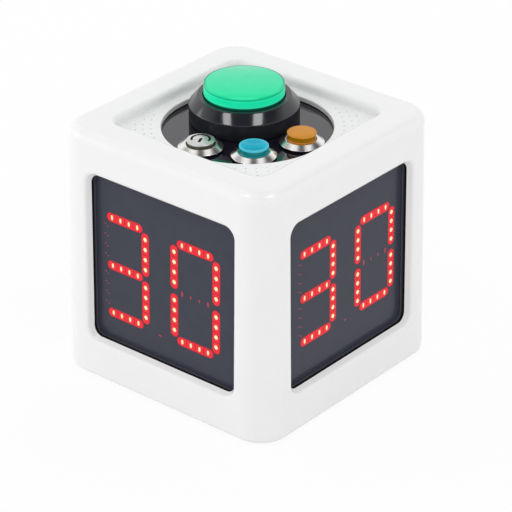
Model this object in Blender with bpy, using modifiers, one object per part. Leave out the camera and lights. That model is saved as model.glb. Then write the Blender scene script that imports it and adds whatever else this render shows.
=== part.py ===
"""A cube timer with a two-digit LED display on each side and four push buttons on top.

Sizes are in millimetres until MM turns them into metres. +Z is up, the front face looks
along -Y, and the origin lies under the middle of the cube, on the surface that it stands on.
"""

import math
from collections import namedtuple

import bmesh
import bpy
from mathutils import Matrix, Vector

MM = 0.001

# Clearances
SEAT = 0.3
RUN = 0.3
BURY = 0.6
CUT_PAST = 2.0
MERGE = 0.05
HAIR = MERGE / 4

# Housing
WIDTH = 150.0
HEIGHT = 150.0
DRAFT = math.radians(0.72)
WALL = 3.2
CORNER_R = 18.0
TOP_EDGE_R = 6.0
BOTTOM_EDGE_R = 3.7
ROOF = 3.0

# Tray and round opening in the top
TRAY_HALF = 53.0
TRAY_R = 7.5
TRAY_DEPTH = 6.0
TRAY_LIP = 3.0
TRAY_FILLET = 1.5
TRAY_WALL = 3.0
SLAB = 3.0
WELL_R = 47.2
WELL_LIP = 0.8
REBATE = 0.7
REBATE_WIDE = 1.3

# Sound holes: the radius and the number of holes of each row of a corner
HOLE_R = 0.55
HOLE_RINGS = (53.0, 57.2, 61.2)
HOLE_COUNTS = (7, 5, 3)
HOLE_PITCH = math.radians(6.1)

# Windows: the borders round each one, and the return that is moulded behind the wall
WINDOW_SIDE = 23.0
WINDOW_ABOVE = 23.6
WINDOW_BELOW = 24.8
WINDOW_R = 6.5
WINDOW_LIP = 3.0
RETURN = 2.5
RETURN_D = 5.9
GASKET = 0.4
GASKET_LAP = 0.3
GASKET_RIM = 3.6

# Displays, as seen from outside: X to the right, Y up the wall, from the middle of the wall
Display = namedtuple("Display", "x y digit_pitch row_pitch bar_length")
DISPLAYS = {
    "front": Display(x=-5.05, y=-3.7, digit_pitch=50.6, row_pitch=29.6, bar_length=26.6),
    "right": Display(x=1.55, y=-0.3, digit_pitch=51.6, row_pitch=26.6, bar_length=27.2),
    "back": Display(x=-1.8, y=-1.9, digit_pitch=51.0, row_pitch=28.2, bar_length=26.8),
    "left": Display(x=-1.8, y=-1.9, digit_pitch=51.0, row_pitch=28.2, bar_length=26.8),
}
FACE = 3.0
FACE_LAP = 4.0
BAR = 5.7
POST_X = 14.9
POST_GAP = 2.7
WEB = 0.8
BOARD = 1.6
BOARD_MARGIN = 3.0
LED_BAR = 3.0
LED_SHORT = 3.0
LED_HIGH = 1.3

# Small boxes on the boards: half length, half width, height
Box = namedtuple("Box", "half_x half_y high")
DRIVER_CHIP = Box(6.0, 4.0, 1.8)
LED_PLUG = Box(7.0, 3.0, 5.0)
LED_PLUG_DROP = 24.0

# Top panel
PANEL = 3.0
PANEL_LAP = 3.3

# Main button
MAIN_X = -11.6
MAIN_Y = 11.1
BEZEL_R = 30.7
BEZEL_RIM_R = 24.3
BEZEL_CONE_Z = 9.5
BEZEL_TOP_Z = 15.9
BEZEL_FLOOR = 2.5
CAP_R = 22.6
CAP_TOP_R = 22.3
CAP_TOP_Z = 21.9
CAP_EDGE = 1.0
CAP_WALL = 1.8
CAP_ROOF = 2.0
CAP_SPARE = 1.5
MAIN_TRAVEL = 3.5
NECK_R = 14.0
NECK_LENGTH = 28.0
STEM_R = 9.1
STEM_WALL = 2.6
STEM_END_Z = -22.0
CARRIER_WALL = 1.5
CARRIER_ROOF = 1.8
CARRIER_SHORT = 1.0
MAIN_NUT_FLATS = 36.0
MAIN_NUT = 5.0
MAIN_SPRING_R = 12.0
MAIN_WIRE_R = 0.5
LAMP_R = 5.6
LAMP_TOP_Z = 8.0
LAMP_TIP_R = 4.1
LAMP_TIP = 0.6
LAMP_DOME = 3.0
SWITCH_R = 13.5
SWITCH_LENGTH = 18.0
BLADE = Box(0.4, 2.4, 7.0)
BLADE_X = 7.0
BLADE_Y = 4.0

# Small buttons
BUTTONS_TURN = math.radians(-44)
SMALL_REACH = 33.7
SMALL_TURN = math.radians(54.5)
BLUE_REACH = 32.8
FLANGE_R = 12.5
FLANGE_Z = 1.2
FLANGE_EDGE = 0.35
CONE_R = 9.2
CONE_Z = 3.5
BARREL_R = 10.8
BARREL_LENGTH = 27.0
SMALL_CAP_R = 8.05
SMALL_CAP_Z = 7.3
BLUE_DISH = 0.8
POWER_CAP_R = 7.8
POWER_CAP_Z = 5.5
SMALL_EDGE = 0.6
SMALL_TRAVEL = 1.5
SMALL_FOOT_Z = -3.0
SMALL_STEM_R = 4.1
SMALL_STEM_END_Z = -21.0
SHOULDER_Z = -14.5
SHOULDER = 2.5
RING_WIDE = 1.1
RING_HIGH = 0.6
SMALL_NUT_FLATS = 25.5
SMALL_NUT = 4.0
SMALL_SPRING_R = 6.2
SMALL_WIRE_R = 0.4
CONTACT_R = 10.3
CONTACT_LENGTH = 11.0
PIN_R = 2.6
TAG = Box(1.4, 0.3, 6.0)
TAG_REACH = 5.0

# Base
FOOT_PROUD = 1.0
FOOT_R = 6.0
FOOT_EDGE = 0.5
FOOT_INSET = 25.0
FOOT_SUNK = 1.0
COVER = 2.8
COVER_INSET = 0.4
COVER_GAP = 0.4
POST_R = 4.5
POST_SUNK = 0.5
POST_HEIGHT = 16.0
SCREW_R = 1.5
SCREW_LENGTH = 11.0
SCREW_TIP = 1.5
HEAD_R = 3.0
HEAD_HIGH = 1.4
HEAD_SUNK = 0.2

# Cells and their holder
CELL_R = 9.2
CELL_LENGTH = 65.0
CELL_PITCH = 19.4
CELL_NUB_R = 3.0
CELL_NUB = 1.0
HOLDER_WALL = 1.6
HOLDER_HIGH = 14.0
HOLDER_Y = -26.0

# Control board, with places measured from its middle
BOARD_LONG = 76.0
BOARD_WIDE = 46.0
BOARD_Y = 26.0
STANDOFF_R = 3.0
STANDOFF_HIGH = 6.0
STANDOFF_INSET = 4.0
PEG_R = 1.3
PEG_PROUD = 1.0
PROCESSOR = Box(7.0, 7.0, 1.6)
PROCESSOR_AT = (-8.0, 4.0)
CHARGER = Box(4.0, 3.0, 1.5)
CHARGER_AT = (14.0, -6.0)
BUZZER_R = 4.0
BUZZER_HIGH = 9.0
BUZZER_AT = (-26.0, -6.0)
BOARD_PLUG = Box(5.0, 2.5, 6.0)
BOARD_PLUG_X = (-12.0, 6.0, 24.0)
BOARD_PLUG_Y = 18.0

# Speaker
SPEAKER_R = 14.0
SPEAKER_REACH = 57.5
SPEAKER_TURN = math.radians(135)
SPEAKER_HIGH = 8.5
SPEAKER_CONE_R = 9.0
SPEAKER_CONE = 2.5
SURROUND = 2.0
BASKET_RIM = 1.5
MAGNET_R = 8.0
MAGNET = 3.0

# Charge socket
SOCKET_WIDE = 8.9
SOCKET_HIGH = 3.2
SOCKET_DEEP = 8.0
SOCKET_MOUTH_D = 6.5
SOCKET_SHELL = 0.5
SOCKET_CASE_X = 2.0
SOCKET_CASE_Y = 1.5

# Heights
BASE_Z = FOOT_PROUD
MID_Z = BASE_Z + HEIGHT / 2
TOP_Z = BASE_Z + HEIGHT
TRAY_Z = TOP_Z - TRAY_DEPTH
SLAB_Z = TRAY_Z - SLAB
PANEL_Z = SLAB_Z - SEAT
COVER_Z = BASE_Z + COVER_INSET
COVER_TOP_Z = COVER_Z + COVER

# A window's size and middle, in the frame of its wall
WINDOW_X = WIDTH / 2 - WINDOW_SIDE
WINDOW_Y = (HEIGHT - WINDOW_ABOVE - WINDOW_BELOW) / 2
WINDOW_AT = (0.0, (WINDOW_BELOW - WINDOW_ABOVE) / 2)
SOCKET_AT = (0.0, (COVER_TOP_Z - MID_Z + WINDOW_AT[1] - WINDOW_Y - FACE_LAP) / 2)

# Depths behind the outer face of a side
GASKET_D = RETURN_D + SEAT
FACE_D = GASKET_D + GASKET + SEAT
WEB_D = FACE_D + FACE + SEAT
BOARD_D = WEB_D + WEB + SEAT + LED_HIGH

# Number of facets
FINE_STEPS = 32
ROUND_STEPS = 18
HIDDEN_STEPS = 10
SMALL_STEPS = 8
TINY_STEPS = 6
CORNER_STEPS = 5
EDGE_STEPS = 3
LIP_STEPS = 3
CAPSULE_STEPS = 3
SLOT_STEPS = 1
COIL_STEPS = 8
SMOOTH_ANGLE = math.radians(32)

SIDES = {"front": 0, "right": 90, "back": 180, "left": 270}
QUARTERS = ((1, 1), (-1, 1), (-1, -1), (1, -1))


def clear_scene():
    for thing in list(bpy.data.objects):
        bpy.data.objects.remove(thing, do_unlink=True)


def make_collection(name):
    collection = bpy.data.collections.new(name)
    bpy.context.scene.collection.children.link(collection)
    return collection


clear_scene()
PARTS = make_collection("cube_timer")
CUTTERS = make_collection("cutters")


def make_material(name, colour, roughness, metallic=0.0):
    material = bpy.data.materials.new(name)
    material.use_nodes = True
    shader = material.node_tree.nodes["Principled BSDF"]
    shader.inputs["Base Color"].default_value = (*colour, 1.0)
    shader.inputs["Roughness"].default_value = roughness
    shader.inputs["Metallic"].default_value = metallic
    material.diffuse_color = (*colour, 1.0)
    return material


WHITE = make_material("white_plastic", (0.82, 0.82, 0.80), 0.28)
COVER_WHITE = make_material("cover_plastic", (0.78, 0.78, 0.76), 0.45)
RUBBER = make_material("black_rubber", (0.02, 0.02, 0.02), 0.8)
FOAM = make_material("black_foam", (0.01, 0.01, 0.012), 0.7)
GREY = make_material("display_grey", (0.06, 0.06, 0.075), 0.3)
LENS = make_material("segment_red", (0.9, 0.05, 0.06), 0.4)
FIBRE = make_material("board_green", (0.02, 0.14, 0.07), 0.5)
GLOSS_BLACK = make_material("panel_black", (0.01, 0.01, 0.014), 0.12)
BEZEL_BLACK = make_material("bezel_black", (0.012, 0.013, 0.016), 0.25)
CAP_GREEN = make_material("cap_green", (0.03, 0.62, 0.33), 0.3)
CARRIER_WHITE = make_material("carrier_white", (0.8, 0.8, 0.8), 0.5)
SPRING_STEEL = make_material("spring_steel", (0.6, 0.6, 0.62), 0.3, 1.0)
NYLON = make_material("nut_nylon", (0.03, 0.03, 0.03), 0.5)
STEEL = make_material("button_steel", (0.72, 0.72, 0.74), 0.2, 1.0)
BLUE = make_material("cap_blue", (0.05, 0.35, 0.55), 0.4)
ORANGE = make_material("cap_orange", (0.65, 0.25, 0.04), 0.4)
ZINC = make_material("screw_zinc", (0.6, 0.6, 0.6), 0.35, 1.0)
CELL_WRAP = make_material("cell_wrap", (0.05, 0.2, 0.45), 0.4)
SPEAKER_GREY = make_material("speaker_grey", (0.1, 0.1, 0.1), 0.6)


def make_empty(name, place, rotation=(0, 0, 0)):
    empty = bpy.data.objects.new(name, None)
    empty.empty_display_size = 0.01
    empty.location = Vector(place) * MM
    empty.rotation_euler = rotation
    PARTS.objects.link(empty)
    return empty


def add_object(name, mesh, material, parent, at):
    """A part where a material is given, and a cutter where it is None."""
    thing = bpy.data.objects.new(name, mesh)
    thing.location = Vector(at) * MM
    thing.parent = parent
    if material:
        PARTS.objects.link(thing)
        mesh.materials.append(material)
    else:
        CUTTERS.objects.link(thing)
        thing.hide_render = True
        thing.display_type = "WIRE"
    return thing


def from_bmesh(name, shape, material, parent=None, at=(0, 0, 0)):
    bmesh.ops.remove_doubles(shape, verts=shape.verts, dist=MERGE)
    bmesh.ops.scale(shape, vec=(MM, MM, MM), verts=shape.verts)
    bmesh.ops.recalc_face_normals(shape, faces=shape.faces)
    mesh = bpy.data.meshes.new(name)
    shape.to_mesh(mesh)
    shape.free()
    mesh.shade_smooth()
    mesh.set_sharp_from_angle(angle=SMOOTH_ANGLE)
    return add_object(name, mesh, material, parent, at)


def cut(part, cutter):
    boolean = part.modifiers.new(cutter.name, "BOOLEAN")
    boolean.operation = "DIFFERENCE"
    boolean.object = cutter


def join(part, addition):
    boolean = part.modifiers.new(addition.name, "BOOLEAN")
    boolean.operation = "UNION"
    boolean.object = addition


def bevel(shape, edges, radius, steps):
    bmesh.ops.bevel(shape, geom=edges, offset=radius, offset_type="OFFSET", segments=steps,
                    profile=0.5, affect="EDGES", clamp_overlap=False)


def upright(edge):
    low, high = edge.verts
    return abs(low.co.z - high.co.z) > 0.5 * edge.calc_length()


def add_block(shape, half_x, half_y, z_low, z_high, radius=0.0, steps=CAPSULE_STEPS, centre=(0, 0)):
    """A box with rounded upright edges, added to a mesh that may hold others."""
    made = bmesh.ops.create_cube(shape, size=2.0)["verts"]
    for vert in made:
        vert.co.x = centre[0] + vert.co.x * half_x
        vert.co.y = centre[1] + vert.co.y * half_y
        vert.co.z = z_high if vert.co.z > 0 else z_low
    if radius > 0:
        edges = {edge for vert in made for edge in vert.link_edges if upright(edge)}
        bevel(shape, list(edges), radius, steps)


def add_box_up(shape, box, base, centre):
    """A small box that stands on a board, sunk a little into it."""
    add_block(shape, box.half_x, box.half_y, base - BURY, base + box.high, centre=centre)


def add_box_down(shape, box, base, centre):
    """A small box that hangs below a surface, sunk a little into it."""
    add_block(shape, box.half_x, box.half_y, base - box.high, base + BURY, centre=centre)


def add_rod(shape, radius, z_low, z_high, sides, centre=(0, 0), turn=0.0):
    middle = Vector((centre[0], centre[1], (z_low + z_high) / 2))
    place = Matrix.Translation(middle) @ Matrix.Rotation(turn, 4, "Z")
    bmesh.ops.create_cone(shape, cap_ends=True, segments=sides, radius1=radius, radius2=radius,
                          depth=z_high - z_low, matrix=place)


def block(name, half_x, half_y, z_low, z_high, material, radius=0.0, steps=CAPSULE_STEPS,
          centre=(0, 0), parent=None, at=(0, 0, 0)):
    shape = bmesh.new()
    add_block(shape, half_x, half_y, z_low, z_high, radius, steps, centre)
    return from_bmesh(name, shape, material, parent, at)


def rod(name, radius, z_low, z_high, sides, material, parent=None, at=(0, 0, 0)):
    shape = bmesh.new()
    add_rod(shape, radius, z_low, z_high, sides)
    return from_bmesh(name, shape, material, parent, at)


def turned(name, profile, steps, material, parent=None, at=(0, 0, 0)):
    """A profile of (radius, height) points, down its outer side, turned about Z."""
    mesh = bpy.data.meshes.new(name)
    points = [(radius * MM, 0, height * MM) for radius, height in profile]
    count = len(points)
    edges = [(index, index + 1) for index in range(count - 1)]
    if profile[0][0] > 0 or profile[-1][0] > 0:
        edges.append((count - 1, 0))
    mesh.from_pydata(points, edges, [])
    thing = add_object(name, mesh, material, parent, at)
    screw = thing.modifiers.new("turn", "SCREW")
    screw.steps = steps
    screw.render_steps = steps
    screw.use_merge_vertices = True
    screw.merge_threshold = 0.00001
    screw.use_normal_calculate = False
    screw.use_smooth_shade = True
    return thing


def spring(name, radius, wire, z_low, z_high, turns, parent):
    """One open coil whose end turns lie flat."""
    curve = bpy.data.curves.new(name, "CURVE")
    curve.dimensions = "3D"
    curve.bevel_depth = wire * MM
    curve.bevel_resolution = 1
    curve.use_fill_caps = True
    count = turns * COIL_STEPS + 1
    line = curve.splines.new("POLY")
    line.points.add(count - 1)
    rise = z_high - z_low - 2 * wire
    for index in range(count):
        turn = index / COIL_STEPS
        share = min(max((turn - 0.5) / (turns - 1), 0.0), 1.0)
        angle = 2 * math.pi * turn
        height = z_low + wire + rise * share
        place = (radius * math.cos(angle), radius * math.sin(angle), height)
        line.points[index].co = (*(Vector(place) * MM), 1.0)
    thing = bpy.data.objects.new(name, curve)
    thing.parent = parent
    PARTS.objects.link(thing)
    curve.materials.append(SPRING_STEEL)
    return thing


def corners(reach_x, reach_y=None):
    """Four places round the middle, anticlockwise from the back right one."""
    if reach_y is None:
        reach_y = reach_x
    return [(x * reach_x, y * reach_y) for x, y in QUARTERS]


def half_width(z, inset=0.0):
    """Half of the housing's drafted width at a height, less an inset."""
    return WIDTH / 2 - (z - MID_Z) * math.tan(DRAFT) - inset


def drafted_box(z_low, z_high, inset):
    """A box with the housing's draft and corners, set in by an inset."""
    shape = bmesh.new()
    made = bmesh.ops.create_cube(shape, size=2.0)["verts"]
    for vert in made:
        height = z_high if vert.co.z > 0 else z_low
        half = half_width(height, inset)
        vert.co = Vector((vert.co.x * half, vert.co.y * half, height))
    bevel(shape, [edge for edge in shape.edges if upright(edge)], CORNER_R - inset, CORNER_STEPS)
    return shape


def level_loop(shape, height):
    return [edge for edge in shape.edges if all(abs(v.co.z - height) < 0.01 for v in edge.verts)]


def rounded_outline(half_x, half_y, radius, steps):
    """Points of a rectangle with round corners, anticlockwise from the right-hand side."""
    points = []
    for quarter, (side_x, side_y) in enumerate(QUARTERS):
        for step in range(steps + 1):
            angle = math.radians(90 * quarter + 90 * step / steps)
            x = side_x * (half_x - radius) + radius * math.cos(angle)
            y = side_y * (half_y - radius) + radius * math.sin(angle)
            points.append((x, y))
    return points


def funnel(name, half_x, half_y, radius, rings, steps, centre=(0, 0), parent=None):
    """A cutter lofted through outlines that are grown all round, each as (growth, height)."""
    shape = bmesh.new()
    loops = []
    for grow, height in rings:
        outline = rounded_outline(half_x + grow, half_y + grow, radius + grow, steps)
        loops.append([shape.verts.new((centre[0] + x, centre[1] + y, height)) for x, y in outline])
    count = len(loops[0])
    for low, high in zip(loops, loops[1:]):
        for index in range(count):
            after = (index + 1) % count
            shape.faces.new((low[index], low[after], high[after], high[index]))
    shape.faces.new(loops[0])
    shape.faces.new(loops[-1])
    return from_bmesh(name, shape, None, parent)


def lip_rings(radius, top, steps):
    """Rings of a cutter that leaves a rounded edge of a radius round an opening."""
    rings = []
    for step in range(steps, 0, -1):
        angle = math.radians(90 * step / steps)
        rings.append((radius - radius * math.sin(angle), top - radius + radius * math.cos(angle)))
    inner, outer = Vector(rings[-1]), Vector((radius, top))
    rings.append(tuple(outer + (outer - inner) / 3))
    return rings


def side_frame(side):
    """An empty on the middle of a wall: X to the right, Y up the wall and Z out of it."""
    turn = math.radians(SIDES[side])
    place = Matrix.Rotation(turn, 3, "Z") @ Vector((0, -WIDTH / 2, MID_Z))
    return make_empty(f"{side}_wall", place, (math.pi / 2 - DRAFT, 0, turn))


def segment_places(display):
    """Middle and direction of the fourteen segments: True where one stands upright."""
    places = []
    for digit in (-1, 1):
        middle = display.x + digit * display.digit_pitch / 2
        for row in (-1, 0, 1):
            places.append((middle, display.y + row * display.row_pitch, False))
        for side, row in QUARTERS:
            places.append((middle + side * POST_X, display.y + row * display.row_pitch / 2, True))
    return places


def add_segments(shape, display, half, short, z_low, z_high, radius=0.0):
    """A bar along each of the fourteen segments, shorter at each end than the segment."""
    for x, y, stands in segment_places(display):
        length = (display.row_pitch - POST_GAP if stands else display.bar_length) / 2 - short
        size = (half, length) if stands else (length, half)
        add_block(shape, *size, z_low, z_high, radius, SLOT_STEPS, (x, y))


def segment_shapes(display, slack, z_low, z_high):
    """The fourteen segments with rounded ends, made smaller all round by a slack."""
    shape = bmesh.new()
    half = BAR / 2 - slack
    add_segments(shape, display, half, slack, z_low, z_high, half - HAIR)
    return shape


def post_reach():
    """How far out the screw posts stand, each one sunk a little into its corner."""
    corner = half_width(COVER_TOP_Z) - CORNER_R
    return corner + (CORNER_R - WALL - POST_R + POST_SUNK) * math.sqrt(0.5)


def make_housing(walls):
    shape = drafted_box(BASE_Z, TOP_Z, 0.0)
    bevel(shape, level_loop(shape, TOP_Z), TOP_EDGE_R, EDGE_STEPS)
    bevel(shape, level_loop(shape, BASE_Z), BOTTOM_EDGE_R, EDGE_STEPS - 1)
    housing = from_bmesh("housing", shape, WHITE)
    cut(housing, cavity_cutter(walls))

    posts = bmesh.new()
    holes = bmesh.new()
    low = COVER_TOP_Z + SEAT
    for place in corners(post_reach()):
        add_rod(posts, POST_R, low, low + POST_HEIGHT, SMALL_STEPS, place)
        add_rod(holes, SCREW_R + SEAT, low - CUT_PAST, low + SCREW_LENGTH - COVER, TINY_STEPS, place)
    join(housing, from_bmesh("posts", posts, None))
    cut(housing, from_bmesh("post_holes", holes, None))

    rings = [(0.0, -RETURN_D - CUT_PAST)] + lip_rings(WINDOW_LIP, 0.0, LIP_STEPS)
    for side, wall in walls.items():
        cut(housing, funnel(f"{side}_opening", WINDOW_X, WINDOW_Y, WINDOW_R, rings, CAPSULE_STEPS,
                            WINDOW_AT, wall))
    cut(housing, tray_cutter())
    cut(housing, well_cutter())
    cut(housing, sound_holes())
    cut(housing, socket_cutter(walls["back"]))


def cavity_cutter(walls):
    """The hollow of the housing, less the tray's walls and the return round each window."""
    cavity = from_bmesh("cavity", drafted_box(BASE_Z - CUT_PAST, TOP_Z - ROOF, WALL), None)
    tray_half = TRAY_HALF + TRAY_WALL
    cut(cavity, block("tray_box", tray_half, tray_half, SLAB_Z, TOP_Z, None, TRAY_R + TRAY_WALL))
    for side, wall in walls.items():
        cut(cavity, block(f"{side}_return", WINDOW_X + RETURN, WINDOW_Y + RETURN, -RETURN_D, 0.0, None,
                          WINDOW_R + RETURN, CAPSULE_STEPS, WINDOW_AT, wall))
    return cavity


def tray_cutter():
    floor = []
    for step in (0, 1, 2):
        angle = math.radians(45 * step)
        floor.append((TRAY_FILLET * (math.sin(angle) - 1), TRAY_Z + TRAY_FILLET * (1 - math.cos(angle))))
    rings = floor + lip_rings(TRAY_LIP, TOP_Z, LIP_STEPS)
    return funnel("tray", TRAY_HALF, TRAY_HALF, TRAY_R, rings, CAPSULE_STEPS + 1)


def well_cutter():
    profile = [
        (0, TRAY_Z + WELL_LIP),
        (WELL_R + 2 * WELL_LIP, TRAY_Z + WELL_LIP),
        (WELL_R, TRAY_Z - WELL_LIP),
        (WELL_R, SLAB_Z + REBATE),
        (WELL_R + REBATE_WIDE, SLAB_Z + REBATE),
        (WELL_R + REBATE_WIDE, SLAB_Z - CUT_PAST),
        (0, SLAB_Z - CUT_PAST),
    ]
    return turned("well", profile, FINE_STEPS, None)


def sound_holes():
    shape = bmesh.new()
    for quarter in range(4):
        diagonal = math.radians(45 + 90 * quarter)
        for radius, count in zip(HOLE_RINGS, HOLE_COUNTS):
            for index in range(count):
                angle = diagonal + (index - (count - 1) / 2) * HOLE_PITCH
                place = (radius * math.cos(angle), radius * math.sin(angle))
                add_rod(shape, HOLE_R, SLAB_Z - CUT_PAST, TRAY_Z + CUT_PAST, TINY_STEPS, place, angle)
    return from_bmesh("sound_holes", shape, None)


def socket_cutter(wall):
    half_high = SOCKET_HIGH / 2 + SEAT
    return block("socket_hole", SOCKET_WIDE / 2 + SEAT, half_high, -WALL - CUT_PAST, CUT_PAST, None,
                 half_high - HAIR, CAPSULE_STEPS, SOCKET_AT, wall)


def make_display(side, wall):
    """The gasket, slotted grey face, lens and LED board behind one window."""
    display = DISPLAYS[side]
    gasket = block(f"{side}_gasket", WINDOW_X + GASKET_RIM, WINDOW_Y + GASKET_RIM, -GASKET_D - GASKET,
                   -GASKET_D, FOAM, WINDOW_R, CAPSULE_STEPS, WINDOW_AT, wall)
    cut(gasket, block(f"{side}_aperture", WINDOW_X - GASKET_LAP, WINDOW_Y - GASKET_LAP,
                      -GASKET_D - GASKET - CUT_PAST, -GASKET_D + CUT_PAST, None,
                      WINDOW_R - GASKET_LAP, CAPSULE_STEPS, WINDOW_AT, wall))

    face = block(f"{side}_display_face", WINDOW_X + FACE_LAP, WINDOW_Y + FACE_LAP, -FACE_D - FACE, -FACE_D,
                 GREY, centre=WINDOW_AT, parent=wall)
    slots = segment_shapes(display, 0.0, -FACE_D - FACE - CUT_PAST, -FACE_D + CUT_PAST)
    cut(face, from_bmesh(f"{side}_slots", slots, None, wall))

    layout = (display.x, display.y)
    half_x = display.digit_pitch / 2 + POST_X + BAR / 2 + BOARD_MARGIN
    half_y = display.row_pitch + BAR / 2 + BOARD_MARGIN
    lens = block(f"{side}_segment_lens", half_x, half_y, -WEB_D - WEB, -WEB_D, LENS,
                 centre=layout, parent=wall)
    bars = segment_shapes(display, SEAT, -WEB_D - WEB / 2, -FACE_D)
    join(lens, from_bmesh(f"{side}_bars", bars, None, wall))

    board = block(f"{side}_led_board", half_x, half_y, -BOARD_D - BOARD, -BOARD_D, FIBRE,
                  centre=layout, parent=wall)
    join(board, from_bmesh(f"{side}_leds", led_shapes(display), None, wall))


def led_shapes(display):
    """A bar of lamps behind each segment, and the driver chip and plug on the back of the board."""
    shape = bmesh.new()
    add_segments(shape, display, LED_BAR / 2, LED_SHORT, -BOARD_D - BURY, -BOARD_D + LED_HIGH)
    back = -BOARD_D - BOARD
    add_box_down(shape, DRIVER_CHIP, back, (display.x, display.y))
    add_box_down(shape, LED_PLUG, back, (display.x, display.y - LED_PLUG_DROP))
    return shape


def button_places():
    """The small buttons round the front corner, each by its reach and angle."""
    return {
        "orange": (SMALL_REACH, BUTTONS_TURN + SMALL_TURN),
        "blue": (BLUE_REACH, BUTTONS_TURN),
        "power": (SMALL_REACH, BUTTONS_TURN - SMALL_TURN),
    }


def make_top_panel():
    holes = bmesh.new()
    low, high = PANEL_Z - PANEL - CUT_PAST, PANEL_Z + CUT_PAST
    add_rod(holes, NECK_R + SEAT, low, high, FINE_STEPS, (MAIN_X, MAIN_Y))
    for reach, angle in button_places().values():
        place = (reach * math.cos(angle), reach * math.sin(angle))
        add_rod(holes, BARREL_R + SEAT, low, high, ROUND_STEPS, place)
    panel = rod("top_panel", WELL_R + PANEL_LAP, PANEL_Z - PANEL, PANEL_Z, FINE_STEPS, GLOSS_BLACK)
    cut(panel, from_bmesh("button_holes", holes, None))


def make_nut(name, flats, high, bore, axis):
    top = -PANEL - SEAT
    nut = rod(name, flats / 2 / math.cos(math.pi / 6), top - high, top, 6, NYLON, axis)
    cut(nut, rod(f"{name}_bore", bore, top - high - CUT_PAST, top + CUT_PAST, ROUND_STEPS, None, axis))


def make_main_button():
    axis = make_empty("main_button_axis", (MAIN_X, MAIN_Y, PANEL_Z))
    bore = CAP_R + RUN
    floor_z = SEAT + BEZEL_FLOOR
    stem_bore = STEM_R + RUN
    turned("main_bezel", [
        (bore, BEZEL_TOP_Z),
        (BEZEL_RIM_R, BEZEL_TOP_Z),
        (BEZEL_R, BEZEL_CONE_Z),
        (BEZEL_R, SEAT),
        (NECK_R, SEAT),
        (NECK_R, -NECK_LENGTH),
        (stem_bore, -NECK_LENGTH),
        (stem_bore, floor_z),
        (bore, floor_z),
    ], FINE_STEPS, BEZEL_BLACK, axis)

    foot_z = floor_z + MAIN_TRAVEL + CAP_SPARE
    inner = CAP_R - CAP_WALL
    roof_z = CAP_TOP_Z - CAP_ROOF
    turned("main_cap", [
        (0, CAP_TOP_Z),
        (CAP_TOP_R - CAP_EDGE, CAP_TOP_Z),
        (CAP_TOP_R - 0.3 * CAP_EDGE, CAP_TOP_Z - 0.3 * CAP_EDGE),
        (CAP_TOP_R, CAP_TOP_Z - CAP_EDGE),
        (CAP_R, BEZEL_TOP_Z),
        (CAP_R, foot_z),
        (inner, foot_z),
        (inner, roof_z),
        (0, roof_z),
    ], FINE_STEPS, CAP_GREEN, axis)

    carrier_r = inner - SEAT
    carrier_z = roof_z - SEAT
    carrier_foot = foot_z + CARRIER_SHORT
    plate_z = carrier_z - CARRIER_ROOF
    turned("main_carrier", [
        (0, carrier_z),
        (carrier_r, carrier_z),
        (carrier_r, carrier_foot),
        (carrier_r - CARRIER_WALL, carrier_foot),
        (carrier_r - CARRIER_WALL, plate_z),
        (STEM_R, plate_z),
        (STEM_R, STEM_END_Z),
        (STEM_R - STEM_WALL, STEM_END_Z),
        (STEM_R - STEM_WALL, plate_z),
        (0, plate_z),
    ], HIDDEN_STEPS, CARRIER_WHITE, axis)

    spring("main_spring", MAIN_SPRING_R, MAIN_WIRE_R, floor_z + SEAT, plate_z - SEAT, 4, axis)
    make_nut("main_nut", MAIN_NUT_FLATS, MAIN_NUT, NECK_R + SEAT, axis)

    top = -NECK_LENGTH - SEAT
    low = top - SWITCH_LENGTH
    switch = turned("main_switch", [
        (0, LAMP_TOP_Z),
        (LAMP_TIP_R, LAMP_TOP_Z - LAMP_TIP),
        (LAMP_R, LAMP_TOP_Z - LAMP_DOME),
        (LAMP_R, top),
        (SWITCH_R, top),
        (SWITCH_R, low),
        (0, low),
    ], HIDDEN_STEPS, NYLON, axis)
    blades = bmesh.new()
    for place in corners(BLADE_X, BLADE_Y):
        add_box_down(blades, BLADE, low, place)
    join(switch, from_bmesh("main_blades", blades, None, axis))


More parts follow.
